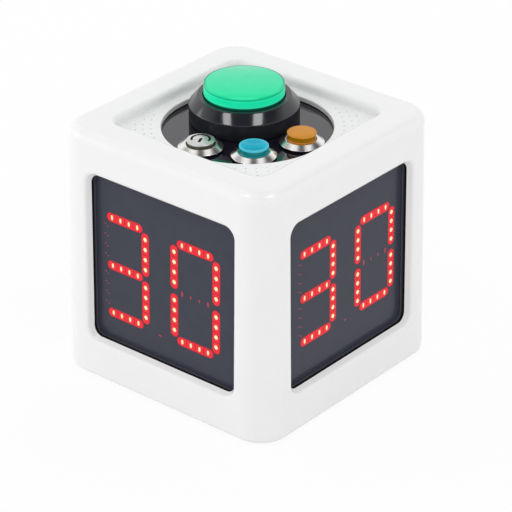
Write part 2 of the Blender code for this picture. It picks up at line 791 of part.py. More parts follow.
def make_small_button(name, cap_r, cap_z, dish, material):
    reach, angle = button_places()[name]
    axis = make_empty(f"{name}_button_axis", (reach * math.cos(angle), reach * math.sin(angle), PANEL_Z))
    bore = cap_r + RUN
    stem_bore = SMALL_STEM_R + RUN
    turned(f"{name}_body", [
        (bore, CONE_Z),
        (CONE_R, CONE_Z),
        (FLANGE_R, FLANGE_Z + FLANGE_EDGE),
        (FLANGE_R, FLANGE_Z),
        (BARREL_R, FLANGE_Z),
        (BARREL_R, -BARREL_LENGTH),
        (bore, -BARREL_LENGTH),
        (bore, SHOULDER_Z - SHOULDER),
        (stem_bore, SHOULDER_Z - SHOULDER),
        (stem_bore, SHOULDER_Z),
        (bore, SHOULDER_Z),
    ], ROUND_STEPS, STEEL, axis)

    turned(f"{name}_cap", [
        (0, cap_z - dish),
        (cap_r - 2 * SMALL_EDGE, cap_z - dish),
        (cap_r - SMALL_EDGE, cap_z),
        (cap_r, cap_z - SMALL_EDGE),
        (cap_r, SMALL_FOOT_Z),
        (SMALL_STEM_R, SMALL_FOOT_Z),
        (SMALL_STEM_R, SMALL_STEM_END_Z),
        (0, SMALL_STEM_END_Z),
    ], ROUND_STEPS, material, axis)

    ring_r = BARREL_R + SEAT
    ring_top = FLANGE_Z - SEAT
    turned(f"{name}_ring", [
        (ring_r, ring_top),
        (ring_r + RING_WIDE, ring_top - RING_HIGH / 2),
        (ring_r, ring_top - RING_HIGH),
    ], ROUND_STEPS, RUBBER, axis)

    spring(f"{name}_spring", SMALL_SPRING_R, SMALL_WIRE_R, SHOULDER_Z + SEAT, SMALL_FOOT_Z - SEAT, 3, axis)
    make_nut(f"{name}_nut", SMALL_NUT_FLATS, SMALL_NUT, BARREL_R + SEAT, axis)

    top = -BARREL_LENGTH - SEAT
    low = top - CONTACT_LENGTH
    pin_z = SMALL_STEM_END_Z - SMALL_TRAVEL - SEAT
    contacts = turned(f"{name}_contacts", [
        (0, pin_z),
        (PIN_R, pin_z),
        (PIN_R, top),
        (CONTACT_R, top),
        (CONTACT_R, low),
        (0, low),
    ], SMALL_STEPS, NYLON, axis)
    tags = bmesh.new()
    for place in ((TAG_REACH, 0), (-TAG_REACH, 0), (0, TAG_REACH), (0, -TAG_REACH)):
        add_box_down(tags, TAG, low, place)
    join(contacts, from_bmesh(f"{name}_tags", tags, None, axis))


def make_base():
    cover_half = half_width(COVER_TOP_Z, WALL + COVER_GAP)
    cover = block("base_cover", cover_half, cover_half, COVER_Z, COVER_TOP_Z, COVER_WHITE,
                  CORNER_R - WALL, CORNER_STEPS)
    screw_places = corners(post_reach())
    foot_places = corners(WIDTH / 2 - FOOT_INSET)
    low = COVER_Z - CUT_PAST
    holes = bmesh.new()
    sinks = bmesh.new()
    for place in screw_places:
        add_rod(holes, SCREW_R + SEAT, low, COVER_TOP_Z + CUT_PAST, TINY_STEPS, place)
        add_rod(sinks, HEAD_R + SEAT, low, COVER_Z + HEAD_HIGH + SEAT, SMALL_STEPS, place)
    for place in foot_places:
        add_rod(sinks, FOOT_R + SEAT, low, COVER_Z + FOOT_SUNK + SEAT, HIDDEN_STEPS, place)
    cut(cover, from_bmesh("cover_holes", holes, None))
    cut(cover, from_bmesh("cover_sinks", sinks, None))

    standoffs = bmesh.new()
    pegs = bmesh.new()
    top = COVER_TOP_Z + STANDOFF_HIGH
    for place in standoff_places():
        add_rod(standoffs, STANDOFF_R, COVER_TOP_Z - BURY, top, SMALL_STEPS, place)
        add_rod(pegs, PEG_R, top - BURY, top + SEAT + BOARD + PEG_PROUD, TINY_STEPS, place)
    join(cover, from_bmesh("standoffs", standoffs, None))
    join(cover, from_bmesh("pegs", pegs, None))

    names = ("back_right", "back_left", "front_left", "front_right")
    for name, (x, y) in zip(names, foot_places):
        turned(f"{name}_foot", [
            (0, COVER_Z + FOOT_SUNK),
            (FOOT_R, COVER_Z + FOOT_SUNK),
            (FOOT_R, FOOT_EDGE),
            (FOOT_R - FOOT_EDGE, 0.0),
            (0, 0.0),
        ], HIDDEN_STEPS, RUBBER, at=(x, y, 0))
    head_top = COVER_Z + HEAD_HIGH
    for name, (x, y) in zip(names, screw_places):
        turned(f"{name}_screw", [
            (0, head_top + SCREW_LENGTH - SCREW_TIP),
            (SCREW_R, head_top + SCREW_LENGTH - 2 * SCREW_TIP),
            (SCREW_R, head_top),
            (HEAD_R, head_top),
            (HEAD_R, COVER_Z + HEAD_SUNK),
            (0, COVER_Z + HEAD_SUNK),
        ], SMALL_STEPS, ZINC, at=(x, y, 0))


def standoff_places():
    reach = corners(BOARD_LONG / 2 - STANDOFF_INSET, BOARD_WIDE / 2 - STANDOFF_INSET)
    return [(x, BOARD_Y + y) for x, y in reach]


def on_board(place):
    return (place[0], BOARD_Y + place[1])


def make_control_board():
    low = COVER_TOP_Z + STANDOFF_HIGH + SEAT
    top = low + BOARD
    board = block("control_board", BOARD_LONG / 2, BOARD_WIDE / 2, low, top, FIBRE, centre=on_board((0, 0)))
    holes = bmesh.new()
    for place in standoff_places():
        add_rod(holes, PEG_R + SEAT, low - CUT_PAST, top + CUT_PAST, TINY_STEPS, place)
    cut(board, from_bmesh("board_holes", holes, None))
    chips = bmesh.new()
    add_box_up(chips, PROCESSOR, top, on_board(PROCESSOR_AT))
    add_box_up(chips, CHARGER, top, on_board(CHARGER_AT))
    add_rod(chips, BUZZER_R, top - BURY, top + BUZZER_HIGH, SMALL_STEPS, on_board(BUZZER_AT))
    for x in BOARD_PLUG_X:
        add_box_up(chips, BOARD_PLUG, top, on_board((x, BOARD_PLUG_Y)))
    join(board, from_bmesh("chips", chips, None))


def make_cells():
    inner_x = CELL_LENGTH / 2 + CELL_NUB + SEAT
    inner_y = CELL_PITCH / 2 + CELL_R + SEAT
    low = COVER_TOP_Z + SEAT
    high = low + HOLDER_HIGH
    centre = (0, HOLDER_Y)
    holder = block("battery_holder", inner_x + HOLDER_WALL, inner_y + HOLDER_WALL, low, high, NYLON,
                   centre=centre)
    cut(holder, block("holder_space", inner_x, inner_y, low + HOLDER_WALL, high + CUT_PAST, None,
                      centre=centre))
    axis_z = low + HOLDER_WALL + SEAT + CELL_R
    for name, side in (("rear", 1), ("fore", -1)):
        cell = turned(f"{name}_cell", [
            (0, CELL_LENGTH / 2 + CELL_NUB),
            (CELL_NUB_R, CELL_LENGTH / 2 + CELL_NUB),
            (CELL_NUB_R, CELL_LENGTH / 2),
            (CELL_R, CELL_LENGTH / 2),
            (CELL_R, -CELL_LENGTH / 2),
            (0, -CELL_LENGTH / 2),
        ], HIDDEN_STEPS, CELL_WRAP, at=(0, HOLDER_Y + side * CELL_PITCH / 2, axis_z))
        cell.rotation_euler = (0, side * math.pi / 2, 0)


def make_speaker():
    top = PANEL_Z - PANEL - SEAT
    place = (SPEAKER_REACH * math.cos(SPEAKER_TURN), SPEAKER_REACH * math.sin(SPEAKER_TURN), top)
    turned("speaker", [
        (0, -SPEAKER_CONE),
        (SPEAKER_CONE_R, -SPEAKER_CONE),
        (SPEAKER_R - SURROUND, 0.0),
        (SPEAKER_R, 0.0),
        (SPEAKER_R, -BASKET_RIM),
        (MAGNET_R, -SPEAKER_HIGH + MAGNET),
        (MAGNET_R, -SPEAKER_HIGH),
        (0, -SPEAKER_HIGH),
    ], HIDDEN_STEPS, SPEAKER_GREY, at=place)


def make_charge_socket(wall):
    back = -WALL - SEAT
    socket = block("charge_socket", SOCKET_WIDE / 2 + SOCKET_CASE_X, SOCKET_HIGH / 2 + SOCKET_CASE_Y,
                   back - SOCKET_DEEP, back, STEEL, centre=SOCKET_AT, parent=wall)
    nose = block("socket_nose", SOCKET_WIDE / 2, SOCKET_HIGH / 2, back - BURY, -SEAT, None,
                 SOCKET_HIGH / 2 - HAIR, CAPSULE_STEPS, SOCKET_AT, wall)
    join(socket, nose)
    mouth_x = SOCKET_WIDE / 2 - SOCKET_SHELL
    mouth_y = SOCKET_HIGH / 2 - SOCKET_SHELL
    cut(socket, block("socket_mouth", mouth_x, mouth_y, -SOCKET_MOUTH_D, CUT_PAST, None,
                      mouth_y - HAIR, CAPSULE_STEPS, SOCKET_AT, wall))


def main():
    walls = {side: side_frame(side) for side in SIDES}
    make_housing(walls)
    for side, wall in walls.items():
        make_display(side, wall)
    make_top_panel()
    make_main_button()
    make_small_button("power", POWER_CAP_R, POWER_CAP_Z, 0.0, STEEL)
    make_small_button("blue", SMALL_CAP_R, SMALL_CAP_Z, BLUE_DISH, BLUE)
    make_small_button("orange", SMALL_CAP_R, SMALL_CAP_Z, 0.0, ORANGE)
    make_base()
    make_control_board()
    make_cells()
    make_speaker()
    make_charge_socket(walls["back"])


main()
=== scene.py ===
"""The looks of a cube timer with a two-digit LED display on each side and four buttons on top.

Sizes are in millimetres until MM turns them into metres, in the part's own frame: +Z is up,
the front face looks along -Y, and the origin lies under the middle of the cube.
"""

import math
from collections import namedtuple

import bmesh
import bpy
from mathutils import Matrix, Vector


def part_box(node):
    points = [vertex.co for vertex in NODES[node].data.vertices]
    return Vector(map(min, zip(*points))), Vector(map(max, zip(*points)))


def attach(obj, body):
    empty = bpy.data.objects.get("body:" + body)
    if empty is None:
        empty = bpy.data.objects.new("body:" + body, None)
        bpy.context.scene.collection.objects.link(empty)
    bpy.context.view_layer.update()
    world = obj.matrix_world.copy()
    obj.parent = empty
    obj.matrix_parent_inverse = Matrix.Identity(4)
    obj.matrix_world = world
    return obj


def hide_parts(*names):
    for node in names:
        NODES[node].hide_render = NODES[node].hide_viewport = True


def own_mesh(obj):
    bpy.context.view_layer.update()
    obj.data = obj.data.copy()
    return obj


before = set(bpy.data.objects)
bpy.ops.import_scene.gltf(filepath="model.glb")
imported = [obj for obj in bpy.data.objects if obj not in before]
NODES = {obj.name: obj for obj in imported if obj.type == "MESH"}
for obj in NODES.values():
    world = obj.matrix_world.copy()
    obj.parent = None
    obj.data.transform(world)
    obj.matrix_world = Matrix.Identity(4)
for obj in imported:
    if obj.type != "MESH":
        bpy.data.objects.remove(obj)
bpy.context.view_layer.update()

MM = 0.001


def low_mm(node):
    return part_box(node)[0] / MM


def high_mm(node):
    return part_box(node)[1] / MM


def middle_mm(node):
    return (low_mm(node) + high_mm(node)) / 2


# Clearances
SEAT = 0.3
CUT_PAST = 2.0
MERGE = 0.005

# Housing
WIDTH = 150.0
BASE_Z = low_mm("housing").z
TOP_Z = high_mm("housing").z
MID_Z = (BASE_Z + TOP_Z) / 2
DRAFT = math.radians(0.72)
WALL = 3.2
CORNER_R = 18.0
TOP_EDGE_R = 6.0
BOTTOM_EDGE_R = 3.7
ROOF = 3.0
TRAY_HALF = 53.0
TRAY_R = 7.5
TRAY_DEPTH = 6.0
TRAY_LIP = 3.0
TRAY_FILLET = 1.5
TRAY_WALL = 3.0
SLAB = 3.0
WELL_R = 47.2
WELL_LIP = 0.8
REBATE = 0.2
REBATE_WIDE = 1.3
HOLE_R = 0.45
HOLE_RINGS = (53.0, 57.2, 61.2)
HOLE_COUNTS = (7, 5, 3)
HOLE_PITCH = math.radians(6.1)
TRAY_Z = TOP_Z - TRAY_DEPTH
SLAB_Z = TRAY_Z - SLAB
PANEL_Z = high_mm("top_panel").z

# Windows, with depths behind the outer face of a side
WINDOW_X = 52.0
WINDOW_Y = 50.8
WINDOW_AT = (0.0, 0.6)
WINDOW_R = 6.5
WINDOW_LIP = 3.0
LIP_TILT = math.radians(50)
THROAT = 0.8
THROAT_D = 3.5
RETURN = 2.5
RETURN_D = 5.9
GASKET = 0.4
GASKET_RIM = 3.6
SLEEVE_GAP = 0.02
GASKET_D = RETURN_D + SEAT
FACE = 3.0
FACE_LAP = 4.0
FACE_R = 1.0
FACE_STEPS = 4
FACE_D = GASKET_D + GASKET + SEAT
SOCKET_AT = (0.0, -63.0)
SOCKET_WIDE = 8.9
SOCKET_HIGH = 3.2

# Displays, as seen from outside: X to the right, Y up the wall
Display = namedtuple("Display", "x y digit_pitch row_pitch bar_length bar_leds post_leds")
DISPLAYS = {
    "front": Display(-5.05, -3.7, 50.6, 29.6, 26.2, 6.15, 6.17),
    "right": Display(1.55, -0.3, 51.6, 26.6, 26.4, 6.38, 5.51),
    "back": Display(-1.8, -1.9, 51.0, 28.2, 26.8, 6.27, 5.84),
    "left": Display(-1.8, -1.9, 51.0, 28.2, 26.8, 6.27, 5.84),
}
BAR = 5.7
POST_X = 14.9
POST_GAP = 2.7
LEDS = 4
LIT = {-1: "abgcd", 1: "abcdef"}
RAISE = 0.03
LIFT = 0.02
LENS_THICK = 0.1
LENS_STEPS = 10
RIM_INSET = 0.05
LIT_INSET = 0.4
CORE_BAR = (0.68, 1.45)
CORE_POST = (1.15, 1.2)
HALO = 0.32
SPOT_R = 0.42
SPOT_SIDES = 10
SPOTS_BAR = ((0.0, 1.95),)
SPOTS_POST = ((-1.1, -1.1), (1.5, 0.9))
SLIT_WIDE = 0.4
SLIT_END = 0.2
DASH = (1.1, 0.4)
DASH_X = -0.1
DASH_Y = -2.0
UNLIT_BAR = (0.55, 1.2)
UNLIT_END = 1.5
UNLIT_POST = (0.5, 0.42)
UNLIT_SHIFT = 1.4
UNLIT_PAIR = (0.9, -0.55)

# Main button, with heights above the top panel and the cap's groove as (drop, growth) from its top
CAP_R = 22.6
CAP_TOP_R = 22.3
CAP_FILLET = 0.5
CAP_GROOVE = ((1.0, 0.05), (1.3, -0.1), (1.6, 0.08))
CAP_WALL = 1.8
CAP_ROOF = 2.0
# Where the green cap's top gets its painted dark edge line, and where that line fades from the rear
# corner towards the front
CAP_SHADE_LINE_R = 21.2
CAP_SHADE_LINE_WIDE = 0.3
CAP_SHADE_LINE_FADE = (-4.0, 11.0)
BEZEL_R = 30.7
BEZEL_RIM_R = 26.0
BEZEL_DROP = 0.9
BEZEL_CONE_Z = 9.5
BEZEL_FLOOR_Z = 2.8
BEZEL_GLOSS_Z = (8.9, 9.6)
NECK_R = 14.0
NECK_BORE_R = 9.4
NECK_END_Z = -28.0

# Small buttons, with heights above the top panel
FLANGE_R = 12.5
FLANGE_Z = 1.2
FLANGE_EDGE_Z = 1.55
CONE_R = 9.2
CONE_Z = 3.5
BARREL_R = 10.8
BARREL_END_Z = -27.0
SHOULDER_Z = -14.5
SHOULDER_END_Z = -17.0
SHOULDER_BORE_R = 4.4
STEM_R = 4.1
STEM_END_Z = -21.0
CAP_FOOT_Z = -3.0
BLUE_RIM = 0.55
BLUE_DISH = 0.8
ORANGE_WAIST = 0.3
RING_R = 11.1
RING_WIDE = 1.1
RING_Z = (0.3, 0.6, 0.9)

# Power mark: an arc and a bar, turned from +X and set back from the front corner
MARK_RADII = (4.3, 5.6)
MARK_TURN = math.radians(-58)
MARK_GAP = math.radians(64)
MARK_BACK = 1.0
MARK_BAR = (5.1, 1.5)
MARK_BAR_AT = 0.85
MARK_BAR_TURN = math.radians(-66)
MARK_Z = (-0.05, 0.02)

# Facets
CORNER_STEPS = 20
EDGE_STEPS = 10
LIP_STEPS = 8
FILLET_STEPS = 6
DISH_STEPS = 6
MARK_STEPS = 40
HOLE_SIDES = 14
FINE_SIDES = 128
MID_SIDES = 96
SHARP = math.radians(30)

# Sides, each with its turn about Z in degrees
SIDES = {"front": 0, "right": 90, "back": 180, "left": 270}

# Camera, with its lens and sensor in millimetres and the other lengths in metres
AZIMUTH = math.radians(39.8434)
ELEVATION = math.radians(28.3974)
DISTANCE = 1.53092
LENS = 192.87
SENSOR = 36.0
AIM_Z = 0.076
AIM_RIGHT = 0.004635
AIM_UP = -0.0108
TO_RIGHT = Vector((math.cos(AZIMUTH), math.sin(AZIMUTH), 0.0))
TO_FRONT = Vector((math.sin(AZIMUTH), -math.cos(AZIMUTH), 0.0))

# Light, with lengths in metres: each strip as (name, place to the right, width)
WORLD_SIDES = (1.03, 1.03, 1.04)
WORLD_TOP = (0.92, 0.92, 0.93)
FLOOR_GLOW = 0.93
FLOOR_REACH = 6.0
FILL_FROM = Vector((-0.85, -0.5, 0.25))
FILL_Z = 0.08
FILL_AWAY = 2.5
FILL_SIZE = 1.2
FILL_RADIANCE = 1.8
STRIPS = (("left_strip", -0.162, 0.075), ("right_strip", 0.122, 0.085))
STRIP_FRONT = 0.165
STRIP_Z = 0.40
STRIP_LONG = 0.14
STRIP_RADIANCE = 7.5

# What shines in glossy surfaces: dark above the front, and bands overhead as (place to the right, tone)
BRIGHT = (1.0, 1.0, 1.0)
SKY_DARK = (0.12, 0.12, 0.13)
BAND_MID = (0.45, 0.45, 0.45)
BAND_DARK = (0.04, 0.04, 0.045)
BANDS = (
    (-1.0, BAND_MID), (-0.50, BAND_MID), (-0.42, BRIGHT), (-0.20, BRIGHT), (-0.12, BAND_DARK),
    (0.11, BAND_DARK), (0.19, BRIGHT), (0.38, BRIGHT), (0.46, BAND_DARK), (1.0, BAND_DARK),
)
HORIZON = (0.50, 0.68)
OVERHEAD = (0.05, 0.25)


def add_node(tree, kind, inputs=(), **values):
    node = tree.nodes.new(kind)
    for key, value in values.items():
        setattr(node, key, value)
    for key, value in dict(inputs).items():
        node.inputs[key].default_value = value
    return node


def start_material(name):
    material = bpy.data.materials.new(name)
    material.use_nodes = True
    tree = material.node_tree
    return material, tree, tree.nodes["Principled BSDF"]


def add_noise(tree, scale, detail=3.0):
    place = add_node(tree, "ShaderNodeTexCoord")
    noise = add_node(tree, "ShaderNodeTexNoise", {"Scale": scale, "Detail": detail})
    tree.links.new(place.outputs["Object"], noise.inputs["Vector"])
    return noise


def add_range(tree, source, low, high, start=0.3, end=0.7):
    node = add_node(tree, "ShaderNodeMapRange",
                    {"From Min": start, "From Max": end, "To Min": low, "To Max": high})
    tree.links.new(source, node.inputs["Value"])
    return node.outputs["Result"]


def add_mix(tree, factor, first, second):
    """A mix of two colours, each a tuple or a socket."""
    mix = add_node(tree, "ShaderNodeMix", data_type="RGBA")
    tree.links.new(factor, mix.inputs["Factor"])
    for label, colour in (("A", first), ("B", second)):
        socket = next(s for s in mix.inputs if s.name == label and s.type == "RGBA")
        if isinstance(colour, tuple):
            socket.default_value = (*colour, 1.0)
        else:
            tree.links.new(colour, socket)
    return next(s for s in mix.outputs if s.type == "RGBA")


def add_math(tree, operation, first, second):
    """An operation on two values, each a number or a socket."""
    node = add_node(tree, "ShaderNodeMath", operation=operation)
    for index, value in enumerate((first, second)):
        if isinstance(value, float):
            node.inputs[index].default_value = value
        else:
            tree.links.new(value, node.inputs[index])
    return node.outputs["Value"]


def add_reach(tree, vector, direction):
    """How far a vector reaches along a direction."""
    node = add_node(tree, "ShaderNodeVectorMath", {1: tuple(direction)}, operation="DOT_PRODUCT")
    tree.links.new(vector, node.inputs[0])
    return node.outputs["Value"]


def add_bump(tree, shader, height, strength, distance):
    bump = add_node(tree, "ShaderNodeBump", {"Strength": strength, "Distance": distance * MM})
    tree.links.new(height, bump.inputs["Height"])
    tree.links.new(bump.outputs["Normal"], shader.inputs["Normal"])


def make_surface(name, colour, roughness, metallic=0.0, mottle=0.04, wear=0.06, grain=0.05,
                 grain_mm=0.6, blotch_mm=9.0, specular=0.5):
    """A moulded, painted or machined surface: blotches in tone, uneven gloss and a fine grain."""
    material, tree, shader = start_material(name)
    shader.inputs["Metallic"].default_value = metallic
    shader.inputs["Specular IOR Level"].default_value = specular
    blotch = add_noise(tree, 1.0 / (blotch_mm * MM))
    darker = tuple(channel * (1.0 - mottle) for channel in colour)
    lighter = tuple(min(channel * (1.0 + mottle), 1.0) for channel in colour)
    tone = add_mix(tree, add_range(tree, blotch.outputs["Fac"], 0.0, 1.0), darker, lighter)
    tree.links.new(tone, shader.inputs["Base Color"])
    fine = add_noise(tree, 1.0 / (grain_mm * MM), 2.0)
    rough = add_range(tree, blotch.outputs["Fac"], max(roughness - wear, 0.02), roughness + wear)
    tree.links.new(rough, shader.inputs["Roughness"])
    add_bump(tree, shader, fine.outputs["Fac"], grain, 0.1)
    return material


def make_turned_metal(name, colour, roughness, grain, grain_mm):
    """Metal from a lathe, whose fine rings draw its highlights out across them."""
    material = make_surface(name, colour, roughness, 1.0, mottle=0.03, wear=0.03, grain=grain,
                            grain_mm=grain_mm)
    tree = material.node_tree
    shader = tree.nodes["Principled BSDF"]
    shader.inputs["Anisotropic"].default_value = 0.6
    tangent = add_node(tree, "ShaderNodeTangent", direction_type="RADIAL", axis="Z")
    tree.links.new(tangent.outputs["Tangent"], shader.inputs["Tangent"])
    return material


def make_power_steel_painted_shade(name):
    """A bright turned top over a side with painted shade, toned dark down to its seat."""
    material = make_turned_metal(name, (0.82, 0.82, 0.80), 0.28, grain=0.30, grain_mm=0.35)
    tree = material.node_tree
    top = high_mm("power_cap").z - PANEL_Z
    # Painted shade: the side's colour goes dark below the bright top edge.
    tone = add_ramp(tree, add_height(tree), [
        (top - 3.0, (0.14, 0.14, 0.12)),
        (top - 1.6, (0.10, 0.10, 0.08)),
        (top - 1.0, (0.14, 0.14, 0.12)),
        (top - 0.6, (0.80, 0.80, 0.78)),
        (top, (0.82, 0.82, 0.80)),
    ])
    tree.links.new(tone, tree.nodes["Principled BSDF"].inputs["Base Color"])
    return material


def add_height(tree):
    place = add_node(tree, "ShaderNodeTexCoord")
    parts = add_node(tree, "ShaderNodeSeparateXYZ")
    tree.links.new(place.outputs["Object"], parts.inputs["Vector"])
    return parts.outputs["Z"]


def make_bezel(name, colour, roughness):
    """Gloss black above and satin down the upright side."""
    material = make_surface(name, colour, roughness, wear=0.03, grain=0.03, grain_mm=0.8)
    tree = material.node_tree
    shader = tree.nodes["Principled BSDF"]
    height = add_height(tree)
    low, high = (value * MM for value in BEZEL_GLOSS_Z)
    tree.links.new(add_range(tree, height, 0.12, 0.6, low, high), shader.inputs["Specular IOR Level"])
    tree.links.new(add_range(tree, height, 0.4, roughness, low, high), shader.inputs["Roughness"])
    return material


def make_gasket_painted_light(name):
    """Black at the throat of a window, with painted light that turns it greyer towards the display
    face, where the recess lies in shade.
    """
    material = make_surface(name, (0.008, 0.008, 0.009), 0.6, grain=0.4, grain_mm=0.4, specular=0.2)
    tree = material.node_tree
    # Painted light: the grey stops near the display face brighten the shaded side of the recess.
    tone = add_ramp(tree, add_height(tree), [
        (-7.0, (0.13, 0.135, 0.165)),
        (-5.6, (0.075, 0.080, 0.10)),
        (-5.0, (0.014, 0.014, 0.016)),
        (-4.5, (0.004, 0.004, 0.004)),
        (-3.5, (0.003, 0.003, 0.003)),
    ])
    tree.links.new(tone, tree.nodes["Principled BSDF"].inputs["Base Color"])
    return material


def make_glow(name, colour, strength):
    """A glowing lens: its own light, with a faint unevenness, over a dark red base. On the unlit marks
    the glow is painted light.
    """
    material, tree, shader = start_material(name)
    shader.inputs["Base Color"].default_value = (0.10, 0.004, 0.006, 1.0)
    shader.inputs["Roughness"].default_value = 0.4
    shader.inputs["Specular IOR Level"].default_value = 0.1
    shader.inputs["Emission Strength"].default_value = strength
    noise = add_noise(tree, 1.0 / (1.5 * MM))
    dimmer = tuple(channel * 0.82 for channel in colour)
    tone = add_mix(tree, add_range(tree, noise.outputs["Fac"], 0.0, 1.0), dimmer, colour)
    tree.links.new(tone, shader.inputs["Emission Color"])
    return material


def add_ramp(tree, source, stops, unit=MM):
    """Colours along a length, each stop as (place, colour), with places in millimetres or a unit."""
    low, high = stops[0][0], stops[-1][0]
    share = add_range(tree, source, 0.0, 1.0, low * unit, high * unit)
    ramp = add_node(tree, "ShaderNodeValToRGB")
    elements = ramp.color_ramp.elements
    elements[0].color = (*stops[0][1], 1.0)
    elements[1].color = (*stops[-1][1], 1.0)
    for value, colour in stops[1:-1]:
        elements.new((value - low) / (high - low)).color = (*colour, 1.0)
    tree.links.new(share, ramp.inputs["Fac"])
    return ramp.outputs["Color"]


def make_cap_painted_light(name, top_colour_and_light, side_colour_and_light, specular, edge=None):
    """A moulded cap in its own colour with painted light and shade: toned by the distance from its axis
    on top and by height down its side, where the stops paint highlights on its rims and shade in its
    grooves and at its foot.

    With an edge colour, its top is toned along the way from the rear corner to the front corner
    instead, a painted reflection that is lighter at the rear, and gets a painted dark edge line of that
    colour that fades towards the front.
    """
    material, tree, shader = start_material(name)
    place = add_node(tree, "ShaderNodeTexCoord")
    parts = add_node(tree, "ShaderNodeSeparateXYZ")
    tree.links.new(place.outputs["Object"], parts.inputs["Vector"])
    flat = add_node(tree, "ShaderNodeCombineXYZ")
    tree.links.new(parts.outputs["X"], flat.inputs["X"])
    tree.links.new(parts.outputs["Y"], flat.inputs["Y"])
    length = add_node(tree, "ShaderNodeVectorMath", operation="LENGTH")
    tree.links.new(flat.outputs["Vector"], length.inputs[0])
    # Painted reflection and shade: the top lightens towards the rear corner, and its dark edge line
    # fades towards the front.
    if edge:
        along = add_reach(tree, flat.outputs["Vector"], TO_FRONT)
        top = add_ramp(tree, along, top_colour_and_light)
        line = add_range(tree, length.outputs["Value"], 0.0, 1.0, CAP_SHADE_LINE_R * MM,
                         (CAP_SHADE_LINE_R + CAP_SHADE_LINE_WIDE) * MM)
        rear = add_range(tree, along, 0.9, 0.0, *(value * MM for value in CAP_SHADE_LINE_FADE))
        top = add_mix(tree, add_math(tree, "MULTIPLY", line, rear), top, edge)
    else:
        top = add_ramp(tree, length.outputs["Value"], top_colour_and_light)
    # Painted light and shade down the side, by height.
    side = add_ramp(tree, parts.outputs["Z"], side_colour_and_light)
    split_z = side_colour_and_light[-1][0]
    height = add_range(tree, parts.outputs["Z"], 0.0, 1.0, (split_z - 0.05) * MM, (split_z + 0.05) * MM)
    tone = add_mix(tree, height, side, top)
    noise = add_noise(tree, 1.0 / (6.0 * MM))
    deeper = add_mix(tree, add_range(tree, noise.outputs["Fac"], 0.0, 0.05), tone, (0.0, 0.0, 0.0))
    tree.links.new(deeper, shader.inputs["Base Color"])
    tree.links.new(add_range(tree, noise.outputs["Fac"], 0.11, 0.17), shader.inputs["Roughness"])
    shader.inputs["Specular IOR Level"].default_value = specular
    fine = add_noise(tree, 1.0 / (1.2 * MM), 2.0)
    add_bump(tree, shader, fine.outputs["Fac"], 0.03, 0.1)
    return material


WHITE = make_surface("white_shell", (0.90, 0.90, 0.895), 0.19, mottle=0.006, wear=0.025, grain=0.025,
                     grain_mm=2.6, blotch_mm=25.0, specular=0.3)
COVER_WHITE = make_surface("white_cover", (0.82, 0.82, 0.81), 0.42, mottle=0.02, grain=0.25,
                           grain_mm=0.5)
RUBBER = make_surface("black_rubber", (0.02, 0.02, 0.02), 0.75, grain=0.4, grain_mm=0.35)
FOAM = make_gasket_painted_light("black_foam")
GREY = make_surface("display_grey", (0.048, 0.051, 0.072), 0.19, wear=0.03, grain=0.015, grain_mm=0.8,
                    specular=0.15)
FIBRE = make_surface("board_green", (0.02, 0.14, 0.07), 0.45, grain=0.3, grain_mm=0.5)
LENS_RED = make_surface("segment_red", (0.5, 0.02, 0.03), 0.35)
GLOSS_BLACK = make_surface("panel_black", (0.009, 0.007, 0.015), 0.06, wear=0.02, grain=0.008,
                           grain_mm=1.0, specular=0.75)
BEZEL_BLACK = make_bezel("bezel_black", (0.013, 0.014, 0.019), 0.12)
CARRIER_WHITE = make_surface("carrier_white", (0.8, 0.8, 0.8), 0.5)
SPRING_STEEL = make_surface("spring_steel", (0.6, 0.6, 0.62), 0.3, 1.0)
NYLON = make_surface("nut_nylon", (0.03, 0.03, 0.03), 0.5, grain=0.2)
STEEL = make_turned_metal("button_steel", (0.88, 0.87, 0.84), 0.17, grain=0.05, grain_mm=0.3)
CAP_STEEL_PAINTED_SHADE = make_power_steel_painted_shade("power_cap_steel_painted_shade")
ZINC = make_surface("screw_zinc", (0.62, 0.62, 0.63), 0.35, 1.0)
CELL_WRAP = make_surface("cell_wrap", (0.05, 0.2, 0.45), 0.4)
SPEAKER_GREY = make_surface("speaker_grey", (0.1, 0.1, 0.1), 0.6)
SYMBOL = make_surface("symbol_dark", (0.006, 0.006, 0.007), 0.5, specular=0.1)
SEGMENT_GLOW = make_glow("segment_glow", (0.86, 0.030, 0.048), 1.0)
RIM_GLOW = make_glow("segment_rim_glow", (0.46, 0.012, 0.022), 1.0)
SLIT_GLOW = make_glow("segment_slit_glow", (0.44, 0.010, 0.018), 1.0)
CORE_GLOW = make_glow("led_core_glow", (1.0, 0.95, 0.55), 1.05)
HALO_GLOW = make_glow("led_halo_glow", (0.95, 0.22, 0.10), 1.0)
SPOT = make_surface("led_spot", (0.10, 0.008, 0.012), 0.5)
# Painted glow: the dull red of lamps that are off, given as their own light.
UNLIT_PAINTED_GLOW = make_glow("unlit_mark", (0.30, 0.055, 0.085), 1.0)
